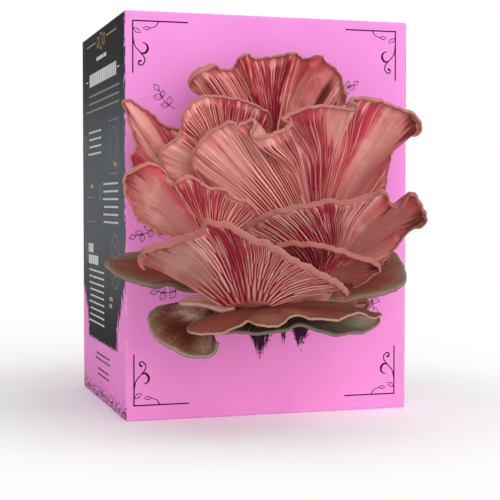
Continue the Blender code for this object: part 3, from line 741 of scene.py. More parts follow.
def sheet_bend(cap, arc, calm_edge, normal, reach):
    """The places that pull each column into its bend between the root and the rim."""
    across = np.linspace(0, 1, len(arc))
    up, _ = cap_frame(cap, normal)
    halfway = (arc + calm_edge) / 2
    inner = smooth_step(np.minimum(across, 1 - across) / BORDER_SHARE)[:, None]
    return halfway + cap.fountain * inner * (arc + up * reach / 2 - halfway)


def middle_sheet(cap, columns, seed):
    """The sheet's middle surface as rows of (x, z, out) points, from root to rolled lip."""
    rims = rim_columns(cap, columns)
    spoke, normal, outward = rim_directions(cap, rims[-1])
    reach = np.linalg.norm(spoke, axis=1, keepdims=True)
    rolls = humps(np.linspace(0, 1, columns + 1), cap.rolls)
    roll = np.minimum(abs(cap.curl), LIP_SHARE * reach) + rolls
    edge, soft_edge, calm_edge = sheet_edges(cap, rims, normal, outward, roll, seed)
    arc = neck_arc(cap, spoke, normal)
    bend = sheet_bend(cap, arc, calm_edge, normal, reach)
    rows = []
    for share in SHEET_SHARES:
        wave = smooth_step((share - cap.folds_from) / (1 - cap.folds_from))
        small_wave = smooth_step((share - SMALL_FOLD_START) / (1 - SMALL_FOLD_START))
        point = arc * (1 - share) ** 2 + bend * 2 * share * (1 - share) + calm_edge * share**2
        point = point + (soft_edge - calm_edge) * wave + (edge - soft_edge) * small_wave
        rows.append(point + normal * cap.bulge * np.sin(np.pi * share))
    side = np.sign(cap.curl)
    for angle in LIP_ANGLES:
        turned = np.sin(angle) * outward + side * (1 - np.cos(angle)) * normal
        rows.append(edge + roll * turned)
    return np.array(rows)


def row_shares():
    """How far each row is from root to lip, with the lip's own rows running on past 1."""
    lip = 1 + np.linspace(0, 1, len(LIP_ANGLES) + 1)[1:]
    return np.concatenate([SHEET_SHARES, lip])


def gill_lines(columns, shares, seed):
    """Ridge height, 0 to 1, at each row and column. New gills start between the older ones."""
    rng = np.random.default_rng(seed)
    phase = rng.uniform(0, 2 * np.pi, 3)
    place = np.arange(columns + 1) / COLUMNS_PER_GILL
    wander = sum(size * np.sin(rate * place + start) for (size, rate), start in zip(GILL_WANDER, phase))
    size, rate_up, rate_across = GILL_SWAY
    sway = size * np.sin(rate_up * shares[:, None] + rate_across * place + phase[-1])
    line = place + wander * (shares[:, None] > 0) + sway * smooth_step(shares[:, None])
    height = 0.5 + 0.5 * np.cos(2 * np.pi * line / FIRST_GILLS)
    for period, start in NEW_GILLS:
        finer = 0.5 + 0.5 * np.cos(2 * np.pi * line / period)
        between = np.floor(line / (2 * period)).astype(int)
        between -= between.min()
        jitter = rng.uniform(-GILL_START_JITTER, GILL_START_JITTER, between.max() + 1)
        grown = smooth_step((shares[:, None] - start - jitter[between]) / GILL_GROWTH)
        height = height * (1 - grown) + finer * grown
    return height


def patch_field(patches, shares, across, ragged):
    """Soft patches summed up, 0 to 1, their ends along the gills made ragged."""
    field = np.zeros((len(shares), len(across)))
    for centre, share, half_width, half_length, amount in patches:
        sideways = (across[None, :] - centre) / half_width
        lengthways = (shares[:, None] - share + ragged[None, :]) / half_length
        field += amount * smooth_step(PATCH_REACH - np.sqrt(sideways**2 + lengthways**2))
    return np.clip(field, 0, 1)


def sheet_fields(cap, columns, seed):
    """The gill side's patches and gills at each row and column, and the height of its ridges."""
    shares = row_shares()
    across = np.linspace(0, 1, columns + 1)
    gill_place = across * columns / COLUMNS_PER_GILL
    ragged = PATCH_JITTER * waves(gill_place, PATCH_WAVES, seed + 5)
    fields = {
        kind: patch_field(getattr(cap, kind), shares, across, ragged) for kind in PATCH_KINDS
    }
    lines = gill_lines(columns, shares, seed + 7)
    fade_in = smooth_step(shares / GILL_FADE_IN)
    low, high = GILL_FADE_OUT
    uneven = FADE_JITTER * waves(gill_place, FADE_WAVES, seed + 9)
    fade_out = 1 - smooth_step((shares[:, None] - low - uneven) / (high - low))
    strength = fade_in[:, None] * fade_out * (1 - SMOOTH_LOSS * fields["smooth"])
    fields["gill"] = 1 - (1 - lines) * strength
    return fields, GILL_HEIGHT * lines * strength


def sheet_sides(cap, columns, seed):
    """The gill side and the skin side as rows of points, with the gill side's fields."""
    middle = middle_sheet(cap, columns, seed)
    normal = unit(np.cross(np.gradient(middle, axis=1), np.gradient(middle, axis=0)))
    normal[0] = unit(normal.mean(axis=(0, 1)))
    half = cap.thick_root + (cap.thick_rim - cap.thick_root) * np.minimum(row_shares(), 1)
    half[-1] *= LIP_TIP_SHARE
    half = half[:, None, None] / 2
    fields, ridge = sheet_fields(cap, columns, seed)
    gill_side = middle + cap.gills * normal * (half + ridge[:, :, None] - GILL_SINK)
    skin_side = middle - cap.gills * normal * half
    return gill_side, skin_side, normal, half, fields


def border_points(middle, away, normal, half):
    """Points that round a border of the sheet, from its gill side to its skin side."""
    return [middle + half * (np.cos(t) * normal + np.sin(t) * away) for t in BORDER_TURNS]


def sheet_rings(cap, columns, seed):
    """Closed rings up the sheet: gill side, right border, skin side, left border."""
    gill_side, skin_side, normal, half, fields = sheet_sides(cap, columns, seed)
    skin_side = skin_side[:, ::COLUMNS_PER_GILL]
    rings = []
    for gill_row, skin_row, row_normal, row_half in zip(gill_side, skin_side, normal, half):
        facing = cap.gills * row_normal
        right = unit(gill_row[-1] - gill_row[-2])
        left = unit(gill_row[0] - gill_row[1])
        right_middle = (gill_row[-1] + skin_row[-1]) / 2
        left_middle = (gill_row[0] + skin_row[0]) / 2
        width = row_half[0, 0]
        right_border = border_points(right_middle, right, facing[-1], width)
        left_border = border_points(left_middle, left, facing[0], width)
        rings.append(
            np.concatenate([gill_row, right_border, skin_row[::-1], left_border[::-1]])
        )
    return np.array(rings), normal, fields


def stem_rings(cap, normal, columns):
    """Rings from the stem's end inside the base to the collar below the sheet."""
    stem = unit(cap.stem_to - cap.root)
    rim = np.array(cap.rim, float)
    spoke = unit((rim - cap.root).mean(axis=0))
    front = unit(normal.mean(axis=(0, 1))) - spoke
    front = unit(front - stem * (front @ stem))
    left = np.cross(stem, front)
    left = left * np.sign(left @ (rim[0] - rim[-1]))
    half_turn = np.linspace(STEM_SIDE, 1 - STEM_SIDE, columns // COLUMNS_PER_GILL + 1)
    side = STEM_SIDE * np.linspace(-1, 1, len(BORDER_TURNS) + 2)[1:-1]
    turns = np.concatenate([half_turn, 1 + side, 1 + half_turn, 2 + side])
    angle = np.pi * turns[:, None]
    shape = np.cos(angle) * left + cap.gills * np.sin(angle) * front
    collar = cap.root + stem * cap.neck * STEM_COLLAR
    rings = []
    for share in np.linspace(0, 1, STEM_RINGS):
        place = cap.stem_to + (collar - cap.stem_to) * share
        radius = cap.neck * (STEM_END + (STEM_START - STEM_END) * share**2)
        rings.append(place + radius * shape)
    return np.array(rings)


def ring_quads(first, count, rows):
    """Quads between rows of a closed ring of count points, the first point's number given."""
    row, place = np.meshgrid(np.arange(rows - 1), np.arange(count), indexing="ij")
    following = (place + 1) % count
    low = first + row * count
    high = low + count
    quads = np.stack([low + place, low + following, high + following, high + place], axis=-1)
    return quads.reshape(-1, 4).tolist()


def seam_faces(coarse, fine, columns):
    """Faces that join a coarse ring to a sheet's ring, whose gill side has more points."""
    spans = columns // COLUMNS_PER_GILL
    faces = []
    for i in range(spans):
        start = i * COLUMNS_PER_GILL
        above = [fine + start + k for k in range(COLUMNS_PER_GILL, -1, -1)]
        faces.append([coarse + i, coarse + i + 1] + above)
    shift = columns - spans
    coarse_count = 2 * (spans + 1) + 2 * len(BORDER_TURNS)
    for i in range(spans, coarse_count):
        following = (i + 1) % coarse_count
        top = fine + shift + following if following else fine
        faces.append([coarse + i, coarse + following, top, fine + shift + i])
    return faces


def lip_end_faces(first, columns):
    """Faces that close the lip's last ring, whose first point's number is given."""
    spans = columns // COLUMNS_PER_GILL
    border = len(BORDER_TURNS)
    skin_start = first + columns + 1 + border
    ring_end = skin_start + spans + 1 + border
    faces = []
    for i in range(spans):
        start = first + i * COLUMNS_PER_GILL
        gill = [start + k for k in range(COLUMNS_PER_GILL + 1)]
        skin = skin_start + spans - i
        faces.append(gill + [skin - 1, skin])
    faces.append(list(range(first + columns, skin_start + 1)))
    faces.append([first] + list(range(skin_start + spans, ring_end)))
    return faces


def cap_fields(rings, fields, columns):
    """Each sheet ring point's values: the gill side's fields, and 0 or 1 off that side."""
    rows, count = rings.shape[:2]
    spans = columns // COLUMNS_PER_GILL
    border = len(BORDER_TURNS)
    values = {}
    for kind, field in fields.items():
        skin = field[:, ::COLUMNS_PER_GILL][:, ::-1]
        left = np.repeat(field[:, :1], border, axis=1)
        right = np.repeat(field[:, -1:], border, axis=1)
        values[kind] = np.concatenate([field, right, skin, left], axis=1)
    values["gill"][:, columns + 1 :] = 1.0
    skin_start = columns + 1 + border
    values["skin"] = np.zeros((rows, count))
    values["skin"][:, columns + 1 :] = BORDER_SKIN
    values["skin"][:, skin_start : skin_start + spans + 1] = 1.0
    values["along"] = np.repeat(row_shares()[:, None], count, axis=1)
    place = np.linspace(0, length_of(rings[len(SHEET_SHARES) - 1][: columns + 1]), columns + 1)
    right, left = np.full(border, place[-1]), np.zeros(border)
    ring_place = np.concatenate([place, right, place[::-COLUMNS_PER_GILL], left])
    values["across"] = np.repeat(ring_place[None, :], rows, axis=0)
    return values


def cap_columns(cap):
    """How many columns the gill side has, in whole groups of gills."""
    group = GILL_SPACING * FIRST_GILLS
    groups = max(2, round(length_of(spline(cap.rim, SPLINE_SAMPLES)) / group))
    return groups * FIRST_GILLS * COLUMNS_PER_GILL


def cap_mesh(cap, seed):
    """The cap as one closed mesh, with its fields as attributes of its points."""
    columns = cap_columns(cap)
    sheet, normal, fields = sheet_rings(cap, columns, seed)
    stem = stem_rings(cap, normal, columns)
    stem_count = stem.shape[0] * stem.shape[1]
    points = to_world(np.concatenate([stem.reshape(-1, 3), sheet.reshape(-1, 3)]))
    faces = ring_quads(0, stem.shape[1], len(stem))
    faces += [list(range(stem.shape[1]))[::-1]]
    faces += seam_faces(stem_count - stem.shape[1], stem_count, columns)
    faces += ring_quads(stem_count, sheet.shape[1], len(sheet))
    faces += lip_end_faces(stem_count + (len(sheet) - 1) * sheet.shape[1], columns)
    mesh = closed_mesh(cap.name + "_detail", points, faces)
    for kind, field in cap_fields(sheet, fields, columns).items():
        start = np.full(stem_count, STEM_GILL if kind == "gill" else 0.0)
        add_attribute(mesh, kind, np.concatenate([start, field.ravel()]))
    return mesh


def closed_mesh(name, points, faces):
    """A smooth-shaded mesh, turned so that its faces point outward."""
    mesh = bpy.data.meshes.new(name)
    mesh.from_pydata(points.tolist(), [], faces)
    mesh.update()
    if signed_volume(mesh) < 0:
        mesh.flip_normals()
    mesh.shade_smooth()
    return mesh


def signed_volume(mesh):
    mesh.calc_loop_triangles()
    corners = np.empty(len(mesh.loop_triangles) * 3, np.int32)
    mesh.loop_triangles.foreach_get("vertices", corners)
    points = np.empty(len(mesh.vertices) * 3, np.float32)
    mesh.vertices.foreach_get("co", points)
    a, b, c = points.reshape(-1, 3)[corners.reshape(-1, 3)].transpose(1, 0, 2).astype(float)
    return (np.cross(a, b) * c).sum() / 6


def add_attribute(mesh, name, values):
    attribute = mesh.attributes.new(name, "FLOAT", "POINT")
    attribute.data.foreach_set("value", np.asarray(values, np.float32))


def new_piece(name, mesh, slot, *replaced):
    obj = bpy.data.objects.new(name, mesh)
    bpy.context.scene.collection.objects.link(obj)
    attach(obj, "root")
    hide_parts(*replaced)


# Print


class Print:
    """Flat shapes on one face, each a list of (across, up) points in millimetres and its ink."""

    def __init__(self):
        self.shapes = []

    def add(self, points, ink):
        self.shapes.append(([tuple(point) for point in points], ink))

    def bar(self, across, up, height, ink):
        low, high = across
        bottom, top = up - height / 2, up + height / 2
        self.add([(low, bottom), (high, bottom), (high, top), (low, top)], ink)

    def stroke(self, points, widths, ink, count=STROKE_POINTS):
        """A line through the points, as one ribbon whose widths run through widths."""
        line = spline(points, count) if len(points) > 2 else np.array(points, float)
        shares = np.linspace(0, 1, len(line))
        width = np.interp(shares, np.linspace(0, 1, len(widths)), widths)[:, None] / 2
        tangent = unit(np.gradient(line, axis=0))
        side = np.stack([-tangent[:, 1], tangent[:, 0]], axis=1) * width
        self.add(list(line + side) + list((line - side)[::-1]), ink)

    def loop(self, points, width, ink):
        """A closed line with straight sides."""
        for start, end in zip(points, points[1:] + points[:1]):
            self.stroke([start, end], [width, width], ink)

    def ring(self, centre, radii, width, ink):
        for half in (0, 1):
            angle = np.linspace(np.pi * half, np.pi * (half + 1), RING_POINTS)
            across = centre[0] + radii[0] * np.cos(angle)
            up = centre[1] + radii[1] * np.sin(angle)
            self.stroke(np.stack([across, up], axis=1), [width, width], ink, RING_POINTS)


def corner_frame(print_, corner, inward):
    """The scrolled corner: two legs, a leaf sprig, a small leaf and a scroll with a crescent."""
    for points, widths in CORNER_STROKES:
        placed = [(corner[0] + inward[0] * a, corner[1] + inward[1] * b) for a, b in points]
        print_.stroke(placed, widths, INK)


def leaf_sprig(print_, start, angle, length, pairs, rng):
    """A generic sprig: a bowed stem with outlined round leaves in pairs and one at its tip."""
    turn = np.array([[np.cos(angle), -np.sin(angle)], [np.sin(angle), np.cos(angle)]])

    def placed(points):
        return np.array(start) + np.array(points, float) @ turn.T

    bow = length * SPRIG_BOW
    print_.stroke(placed([(0, 0), (length / 2, bow), (length, 0)]), [LEAF_LINE] * 2, INK)
    leaves = [(length, 0.0, 0.0)]
    for i in range(pairs):
        along_stem = length * (i + FIRST_PAIR) / (pairs + LAST_PAIR)
        lift = bow * math.sin(math.pi * along_stem / length)
        leaves += [(along_stem, lift, side * rng.uniform(*LEAF_LEAN)) for side in (-1, 1)]
    for x, y, lean in leaves:
        size = length * rng.uniform(*LEAF_SIZE)
        tip = np.array([math.cos(lean), math.sin(lean)]) * size
        across = np.array([-tip[1], tip[0]]) * LEAF_WIDTH
        foot = np.array([x, y])
        for side in (-1, 1):
            edge = [foot, foot + tip * LEAF_BELLY + across * side, foot + tip]
            print_.stroke(placed(edge), [LEAF_LINE] * 2, INK, LEAF_POINTS)
        print_.stroke(placed([foot, foot + tip * VEIN_REACH]), VEIN_LINES, INK)


def dark_tuft(print_, centre, top, width, length, rng):
    """Fine tapered strokes that hang in a point, with loose specks at their edges."""
    for _ in range(int(width * STROKES_PER_MM)):
        offset = rng.uniform(-1, 1)
        reach = length * (1 - abs(offset)) ** TUFT_POINT * rng.uniform(*TUFT_REACH)
        x = centre + offset * width / 2
        foot = centre + offset * width * TUFT_FOOT + rng.uniform(-TUFT_STRAY, TUFT_STRAY)
        middle = (x + rng.uniform(-TUFT_BEND, TUFT_BEND), top - reach / 2)
        high = (x, top + rng.uniform(-TUFT_STRAY, TUFT_STRAY))
        print_.stroke([high, middle, (foot, top - reach)], TUFT_WIDTHS, INK, TUFT_STEPS)
    for _ in range(int(width * SPECKS_PER_MM)):
        offset = rng.uniform(-1, 1)
        up = top - rng.uniform(0, 1) * length * (1 - abs(offset))
        across = centre + offset * width * SPECK_SPREAD
        print_.bar((across, across + rng.uniform(*SPECK_ACROSS)), up, rng.uniform(*SPECK_UP), INK)


def dashes(print_, across, up, rng, ink=GREY, height=LINE_HEIGHT):
    """A line of plain dashes between two places."""
    place, end = across
    while place < end - DASH_REST:
        dash = min(rng.uniform(*DASH), end - place)
        print_.bar((place, place + dash), up, height, ink)
        place += dash + DASH_GAP


def dash_block(print_, across, top, lines, step, rng, ink=GREY):
    """Lines of dashes below one another, with uneven right ends."""
    low, high = across
    for i in range(lines):
        end = high - rng.uniform(0, UNEVEN_END) * (high - low)
        dashes(print_, (low, end), top - i * step, rng, ink)


def heading(print_, across, up, height, rng):
    """A row of plain white blocks of uneven widths."""
    place, end = across
    while place < end - BLOCK_REST:
        width = rng.uniform(*BLOCK)
        print_.bar((place, min(place + width, end)), up, height, WHITE)
        place += width + BLOCK_GAP


def framed_print():
    """A print that so far has only the frame's four corners."""
    print_ = Print()
    for x, inward_x in ((FRAME_LOW[0], 1), (FRAME_HIGH[0], -1)):
        for z, inward_z in ((FRAME_LOW[1], 1), (FRAME_HIGH[1], -1)):
            corner_frame(print_, (x, z), (inward_x, inward_z))
    return print_


def front_print():
    print_ = framed_print()
    rng = np.random.default_rng(FRONT_SEED)
    for x, z, angle, length, pairs in SPRIGS:
        leaf_sprig(print_, (x, z), angle, length, pairs, rng)
    for x, top, width, length in TUFTS:
        dark_tuft(print_, x, top, width, length, rng)
    return print_


def side_print(seed):
    """Plain bars, rings and outlines where the side face has its directions.

    across runs from the front edge of the carton, -68.5, to the back edge, 68.5.
    """
    print_ = Print()
    rng = np.random.default_rng(seed)
    side_title(print_, rng)
    side_blocks(print_, rng)
    dash_block(print_, (-22, 25), 27.5, 2, 3.2, rng, INK)
    dash_block(print_, (-18, 20), 18.5, 2, 3.2, rng, INK)
    return print_


def side_title(print_, rng):
    """An ornament of two lines and three loops, a row of blocks and an opening paragraph."""
    for across in ((-46, -16), (20, 50)):
        print_.bar(across, 213.3, RULE, GOLD)
    for centre, radius in ((-8, 3.0), (2, 4.6), (12, 3.0)):
        print_.ring((centre, 212.5), (radius, radius), RULE, GOLD)
    dashes(print_, (-15, 18), 203, rng, WHITE, WIDE_BAR)
    heading(print_, (-45, 44), 192, 7.5, rng)
    for across in ((-54, -48), (47, 53)):
        print_.bar(across, 192, RULE, WHITE)
    dash_block(print_, (-53, 54), 182.5, 3, 4.6, rng)


def side_blocks(print_, rng):
    """Paragraphs of dashes, each with a ring for its number and outlines beside it."""
    print_.ring((55, 154), NUMBER_RING, RULE, GREY)
    dash_block(print_, (3, 48), 160.5, 4, 4.4, rng, WHITE)
    print_.loop([(-24, 134), (-50, 134), (-50, 164), (-24, 164)], OUTLINE, GREY)
    print_.ring((-37, 150), (8, 10), OUTLINE, GREY)
    print_.bar((-45, -38), 139, WIDE_BAR, GOLD)
    print_.bar((30, 40), 127.6, WIDE_BAR, GOLD)
    print_.loop([(28, 106), (52, 106), (52, 121), (28, 121)], OUTLINE, GREY)
    print_.ring((7, 124), NUMBER_RING, RULE, GREY)
    dash_block(print_, (-49, -2), 128.5, 6, 4.4, rng, WHITE)
    print_.ring((-40, 85), (13, 15), OUTLINE, GREY)
    print_.ring((-40, 85), (7, 9), OUTLINE, GREY)
    print_.ring((55, 88), NUMBER_RING, RULE, GREY)
    heading(print_, (31, 48), 90, 5.5, rng)
    heading(print_, (14, 48), 83, 5.5, rng)
    dash_block(print_, (-5, 48), 76.5, 9, 3.9, rng, WHITE)
    print_.bar((-32, -22), 63, WIDE_BAR, GOLD)
    print_.bar((-30, -22), 59, WIDE_BAR, GOLD)


# Carton


def window_outline(margin):
    """The window's rounded rectangle as (x, z) points, made larger by margin."""
    half_width, half_height = WINDOW_HALF[0] + margin, WINDOW_HALF[1] + margin
    radius = WINDOW_CORNER + margin
    points = []
    for quarter, (side_x, side_z) in enumerate([(1, 1), (-1, 1), (-1, -1), (1, -1)]):
        for step in range(WINDOW_STEPS + 1):
            angle = math.pi / 2 * (quarter + step / WINDOW_STEPS)
            x = side_x * (half_width - radius) + radius * math.cos(angle)
            z = side_z * (half_height - radius) + radius * math.sin(angle)
            points.append((WINDOW_CENTRE[0] + x, WINDOW_CENTRE[1] + z))
    return points


def inside(places, outline):
    """Which of the places lie inside the outline."""
    corners = np.array(outline, float)
    x, y = places[:, 0], places[:, 1]
    found = np.zeros(len(places), bool)
    for (x0, y0), (x1, y1) in zip(corners, np.roll(corners, -1, axis=0)):
        if y0 != y1:
            crossing = x0 + (y - y0) * (x1 - x0) / (y1 - y0)
            found ^= ((y0 > y) != (y1 > y)) & (x < crossing)
    return found


def inked(middles, shapes):
    """The ink at each of these places: the highest number of the shapes around it."""
    inks = np.full(len(middles), PLAIN)
    for outline, ink in shapes:
        low, high = np.min(outline, axis=0), np.max(outline, axis=0)
        near = np.flatnonzero(np.all((middles > low) & (middles < high), axis=1))
        near = near[inside(middles[near], outline)]
        inks[near] = np.maximum(inks[near], ink)
    return inks


def printed_face(bm, corners, shapes, place, facing):
    """A flat face whose shapes are flush areas of their own inks, and whose holes stay open."""
    points, edges = [], []
    for outline in [corners] + [outline for outline, _ in shapes]:
        first, count = len(points), len(outline)
        edges += [(first + i, first + (i + 1) % count) for i in range(count)]
        points.extend(Vector(point) for point in outline)
    cut = geometry.delaunay_2d_cdt(points, edges, [], 0, CUT_WELD)
    flat = np.array([tuple(point) for point in cut[0]])
    triangles = np.array(cut[2])
    verts = [bm.verts.new(place(*point)) for point in flat]
    for triangle, ink in zip(triangles, inked(flat[triangles].mean(axis=1), shapes)):
        if ink == HOLE:
            continue
        face = bm.faces.new([verts[i] for i in triangle])
        face.normal_update()
        if face.normal.dot(facing) < 0:
            face.normal_flip()
        face.material_index = int(ink)


def wall(bm, near, far, ink):
    """Quads between two closed loops of 3-D points."""
    for i in range(len(near)):
        following = (i + 1) % len(near)
        corners = (near[i], near[following], far[following], far[i])
        bm.faces.new([bm.verts.new(point) for point in corners]).material_index = ink


def lid_slit():
    """The U-shaped slit around the tucked lid, as (x, y) points."""
    side = HALF_WIDTH - BOARD
    front = BOARD - HALF_DEPTH
    back = HALF_DEPTH - LID_INSET
    inner = side - SEAM_WIDTH
    return [
        (-side, front), (side, front), (side, back), (inner, back),
        (inner, front + SEAM_WIDTH), (-inner, front + SEAM_WIDTH), (-inner, back), (-side, back),
    ]


def rounded_shell():
    """The carton's outside, without the faces that carry print or openings."""
    bm = bmesh.new()
    bmesh.ops.create_cube(bm, size=2.0)
    for vert in bm.verts:
        x, y, z = vert.co
        vert.co = (x * HALF_WIDTH, y * HALF_DEPTH, (z + 1) * HEIGHT / 2)
    bmesh.ops.bevel(
        bm, geom=bm.edges[:], offset=EDGE_ROUNDING, segments=EDGE_SEGMENTS, profile=0.5,
        affect="EDGES",
    )
    large = [face for face in bm.faces if face.calc_area() > HALF_DEPTH * HALF_WIDTH]
    bottom = min(large, key=lambda face: face.normal.z)
    large.remove(bottom)
    bmesh.ops.delete(bm, geom=large, context="FACES_ONLY")
    return bm


def rectangle(half, low, high):
    return [(-half, low), (half, low), (half, high), (-half, high)]


def carton_faces(bm):
    """The printed faces, in millimetres."""
    flat = EDGE_ROUNDING
    wide, deep = HALF_WIDTH - flat, HALF_DEPTH - flat
    upright = rectangle(wide, flat, HEIGHT - flat), rectangle(deep, flat, HEIGHT - flat)
    window = (window_outline(0), HOLE)
    faces = [
        (upright[0], front_print().shapes + [window], lambda x, z: (x, -HALF_DEPTH, z), (0, -1, 0)),
        (upright[0], framed_print().shapes, lambda x, z: (-x, HALF_DEPTH, z), (0, 1, 0)),
        (upright[1], side_print(SIDE_SEEDS[0]).shapes, lambda y, z: (-HALF_WIDTH, y, z), (-1, 0, 0)),
        (upright[1], side_print(SIDE_SEEDS[1]).shapes, lambda y, z: (HALF_WIDTH, y, z), (1, 0, 0)),
        (rectangle(wide, -deep, deep), [(lid_slit(), HOLE)], lambda x, y: (x, y, HEIGHT), (0, 0, 1)),
    ]
    for corners, shapes, place, facing in faces:
        printed_face(bm, corners, shapes, place, Vector(facing))


def carton_inside(bm):
    """The inner faces, the window's cut edge and the slit around the lid."""
    wide, deep = HALF_WIDTH - BOARD, HALF_DEPTH - BOARD
    inner = rectangle(wide, BOARD, HEIGHT - BOARD)
    outline = window_outline(0)
    outside_count = len(bm.faces)
    printed_face(bm, inner, [(outline, HOLE)], lambda x, z: (x, -deep, z), Vector((0, 1, 0)))
    # Round from the front left corner past the back: the front wall is already there
    corners = [(-wide, -deep), (-wide, deep), (wide, deep), (wide, -deep)]
    low, high = BOARD, HEIGHT - BOARD
    for start_at, end_at in zip(corners, corners[1:]):
        panel = [(*start_at, low), (*end_at, low), (*end_at, high), (*start_at, high)]
        bm.faces.new([bm.verts.new(point) for point in panel])
    for z in (low, high):
        bm.faces.new([bm.verts.new((*corner, z)) for corner in corners])
    bm.faces.ensure_lookup_table()
    for face in bm.faces[outside_count:]:
        face.material_index = RAW
    near = [(x, -HALF_DEPTH, z) for x, z in outline]
    wall(bm, near, [(x, -deep, z) for x, z in outline], RAW)
    slit_top = [(x, y, HEIGHT) for x, y in lid_slit()]
    slit_low = [(x, y, HEIGHT - SEAM_DEPTH) for x, y in lid_slit()]
    wall(bm, slit_top, slit_low, RAW)
    bm.faces.new([bm.verts.new(point) for point in slit_low]).material_index = RAW


def build_carton():
    bm = rounded_shell()
    carton_faces(bm)
    carton_inside(bm)
    bmesh.ops.remove_doubles(bm, verts=bm.verts, dist=WELD)
    bmesh.ops.recalc_face_normals(bm, faces=bm.faces)
    bmesh.ops.scale(bm, vec=(MM, MM, MM), verts=bm.verts)
    mesh = bpy.data.meshes.new("printed_carton")
    bm.to_mesh(mesh)
    bm.free()
    mesh.shade_smooth()
    mesh.set_sharp_from_angle(angle=SHARP_EDGE)
    for material in carton_materials():
        mesh.materials.append(material)
    new_piece("printed_carton", mesh, "printed_board", "carton")


# Fused base


def base_radius(outline, centre, angle):
    """How far the outline lies from the centre at each angle."""
    offset = np.array(outline) - centre
    turned = np.unwrap(np.arctan2(offset[:, 1], offset[:, 0]))
    reach = np.linalg.norm(offset, axis=1)
    wrapped = np.concatenate([turned - 2 * np.pi, turned, turned + 2 * np.pi])
    return np.interp(angle, wrapped, np.tile(reach, 3))


def base_ring(out, sections, opening, angle):
    """The fused mass's ring (x, z, out) at this distance, with fibres that run along it."""
    x, z, half_x, half_z = (np.interp(out, sections[0], column) for column in sections[1:])
    lump = 1 + LUMP_SIZE * np.sin(LUMPS_AROUND * angle + out / LUMP_TWIST)
    ellipse = lump * half_x * half_z / np.hypot(half_z * np.cos(angle), half_x * np.sin(angle))
    share = smooth_step(out / sections[0, 0])
    x = WINDOW_CENTRE[0] + (x - WINDOW_CENTRE[0]) * share
    z = WINDOW_CENTRE[1] + (z - WINDOW_CENTRE[1]) * share
    around = angle / (2 * np.pi)
    swell = FIBRE_SIZE * waves(around, FIBRE_WAVES, FIBRE_SEED)
    swell = swell + SWELL_SIZE * waves(around + out / SWELL_TWIST, SWELL_WAVES, SWELL_SEED)
    radius = opening + (ellipse - opening) * share + swell * smooth_step(out / SWELL_START)
    ring = [x + radius * np.cos(angle), z + radius * np.sin(angle), np.full(BASE_SIDES, out)]
    return np.stack(ring, axis=1)


def base_rings():
    """Rings from the block outward."""
    angle = 2 * np.pi * np.arange(BASE_SIDES) / BASE_SIDES
    opening = base_radius(window_outline(-BASE_GAP), WINDOW_CENTRE, angle)
    sections = np.array(BASE_SECTIONS, float).T
    places = [-BOARD, -BOARD / 2, *np.linspace(0, sections[0, -1], BASE_RINGS)]
    return np.array([base_ring(out, sections, opening, angle) for out in places])


def build_base():
    rings = base_rings()
    count = rings.shape[0]
    faces = ring_quads(0, BASE_SIDES, count)
    last = (count - 1) * BASE_SIDES
    faces += [list(range(BASE_SIDES))[::-1], list(range(last, last + BASE_SIDES))]
    mesh = closed_mesh("fused_base", to_world(rings.reshape(-1, 3)), faces)
    add_attribute(mesh, "out", rings[:, :, 2].ravel())
    around = np.tile(np.arange(BASE_SIDES) / BASE_SIDES, count)
    add_attribute(mesh, "around", around)
    mesh.materials.append(base_material())
    new_piece("fused_base", mesh, "stem_flesh", "cluster_base")


# Materials. A noise is (scale, detail) or (scale, detail, roughness). A span is (low, high) or
# (low, high, result at low, result at high), and a bump is (distance, strength). Lengths here
# are metres. Along a cap, 0 is the root, 1 the start of the lip and 2 its tip.

# Streaks that run with the gills: (stretch along them, offset, scale, detail, roughness)
BANDS = (16.0, 0.0, 0.11, 3.0, 0.55)
STRANDS = (5.0, 7.0, 0.36, 2.0, 0.65)
MIDDLE = 0.5

# Gill side
BLOTCHES = (75.0, 3.0)
CALM_STRANDS = (0.0, 1.0, 1.0, 0.25)
BAND_FLUSH = (0.44, 0.6, 0.0, 0.75)
STRAND_FLUSH = (0.51, 0.62, 0.0, 0.7)
# The next two spans paint shade: deeper crimson near the root, and a crimson band under the lip.
ROOT_SHADE = (0.5, 0.08, 0.0, 0.6)
UNDER_LIP_SHADE = (0.97, 1.08, 0.0, 0.6)
RIM_JITTER = 0.2
SMOOTH_SHARE = 0.85
RED_STREAKS = (0.41, 0.53, 0.05, 1.0)
BRIGHT_STRANDS = (0.5, 0.38, 0.0, 0.85)
BRIGHT_LEFT = (1.0, 0.2, 0.2, 1.0)
PALE_BLOTCHES = (0.5, 0.7, 0.0, 0.3)
PALE_STREAKS = (0.6, 0.4, 0.4, 0.85)
RED_GROOVES = 0.7
GILL_CREST = (0.18, 0.70)

# Lip and skin side
LIP_TO_SKIN = (0.4, 0.65)
LIP_START = (0.98, 1.05)
LIP_MOTTLE = (26.0, 2.0)
LIP_RED = (0.42, 0.62, 0.0, 0.13)
# Painted shade towards the lip's tip, and a painted highlight along the top of its roll.
LIP_TIP_SHADE = (1.7, 1.95, 0.0, 0.12)
LIP_HIGHLIGHT_START = (1.25, 1.4, 0.0, 0.22)
LIP_HIGHLIGHT_END = (1.7, 1.5)
SKIN_SIDE = (0.2, 0.8)
VELVET = (520.0, 4.0, 0.7)
VELVET_PALE = (0.44, 0.74, 0.0, 0.26)
VELVET_FLUSH = (0.5, 0.36, 0.0, 0.5)
SKIN_JITTER = 0.7
SKIN_RED = (0.35, 0.6, 0.3, 0.8)
FLECKS = (0.38, 0.6, 0.55, 0.9)
GRAIN = (900.0, 4.0)
GRAIN_BUMP = (0.00015, 0.5)

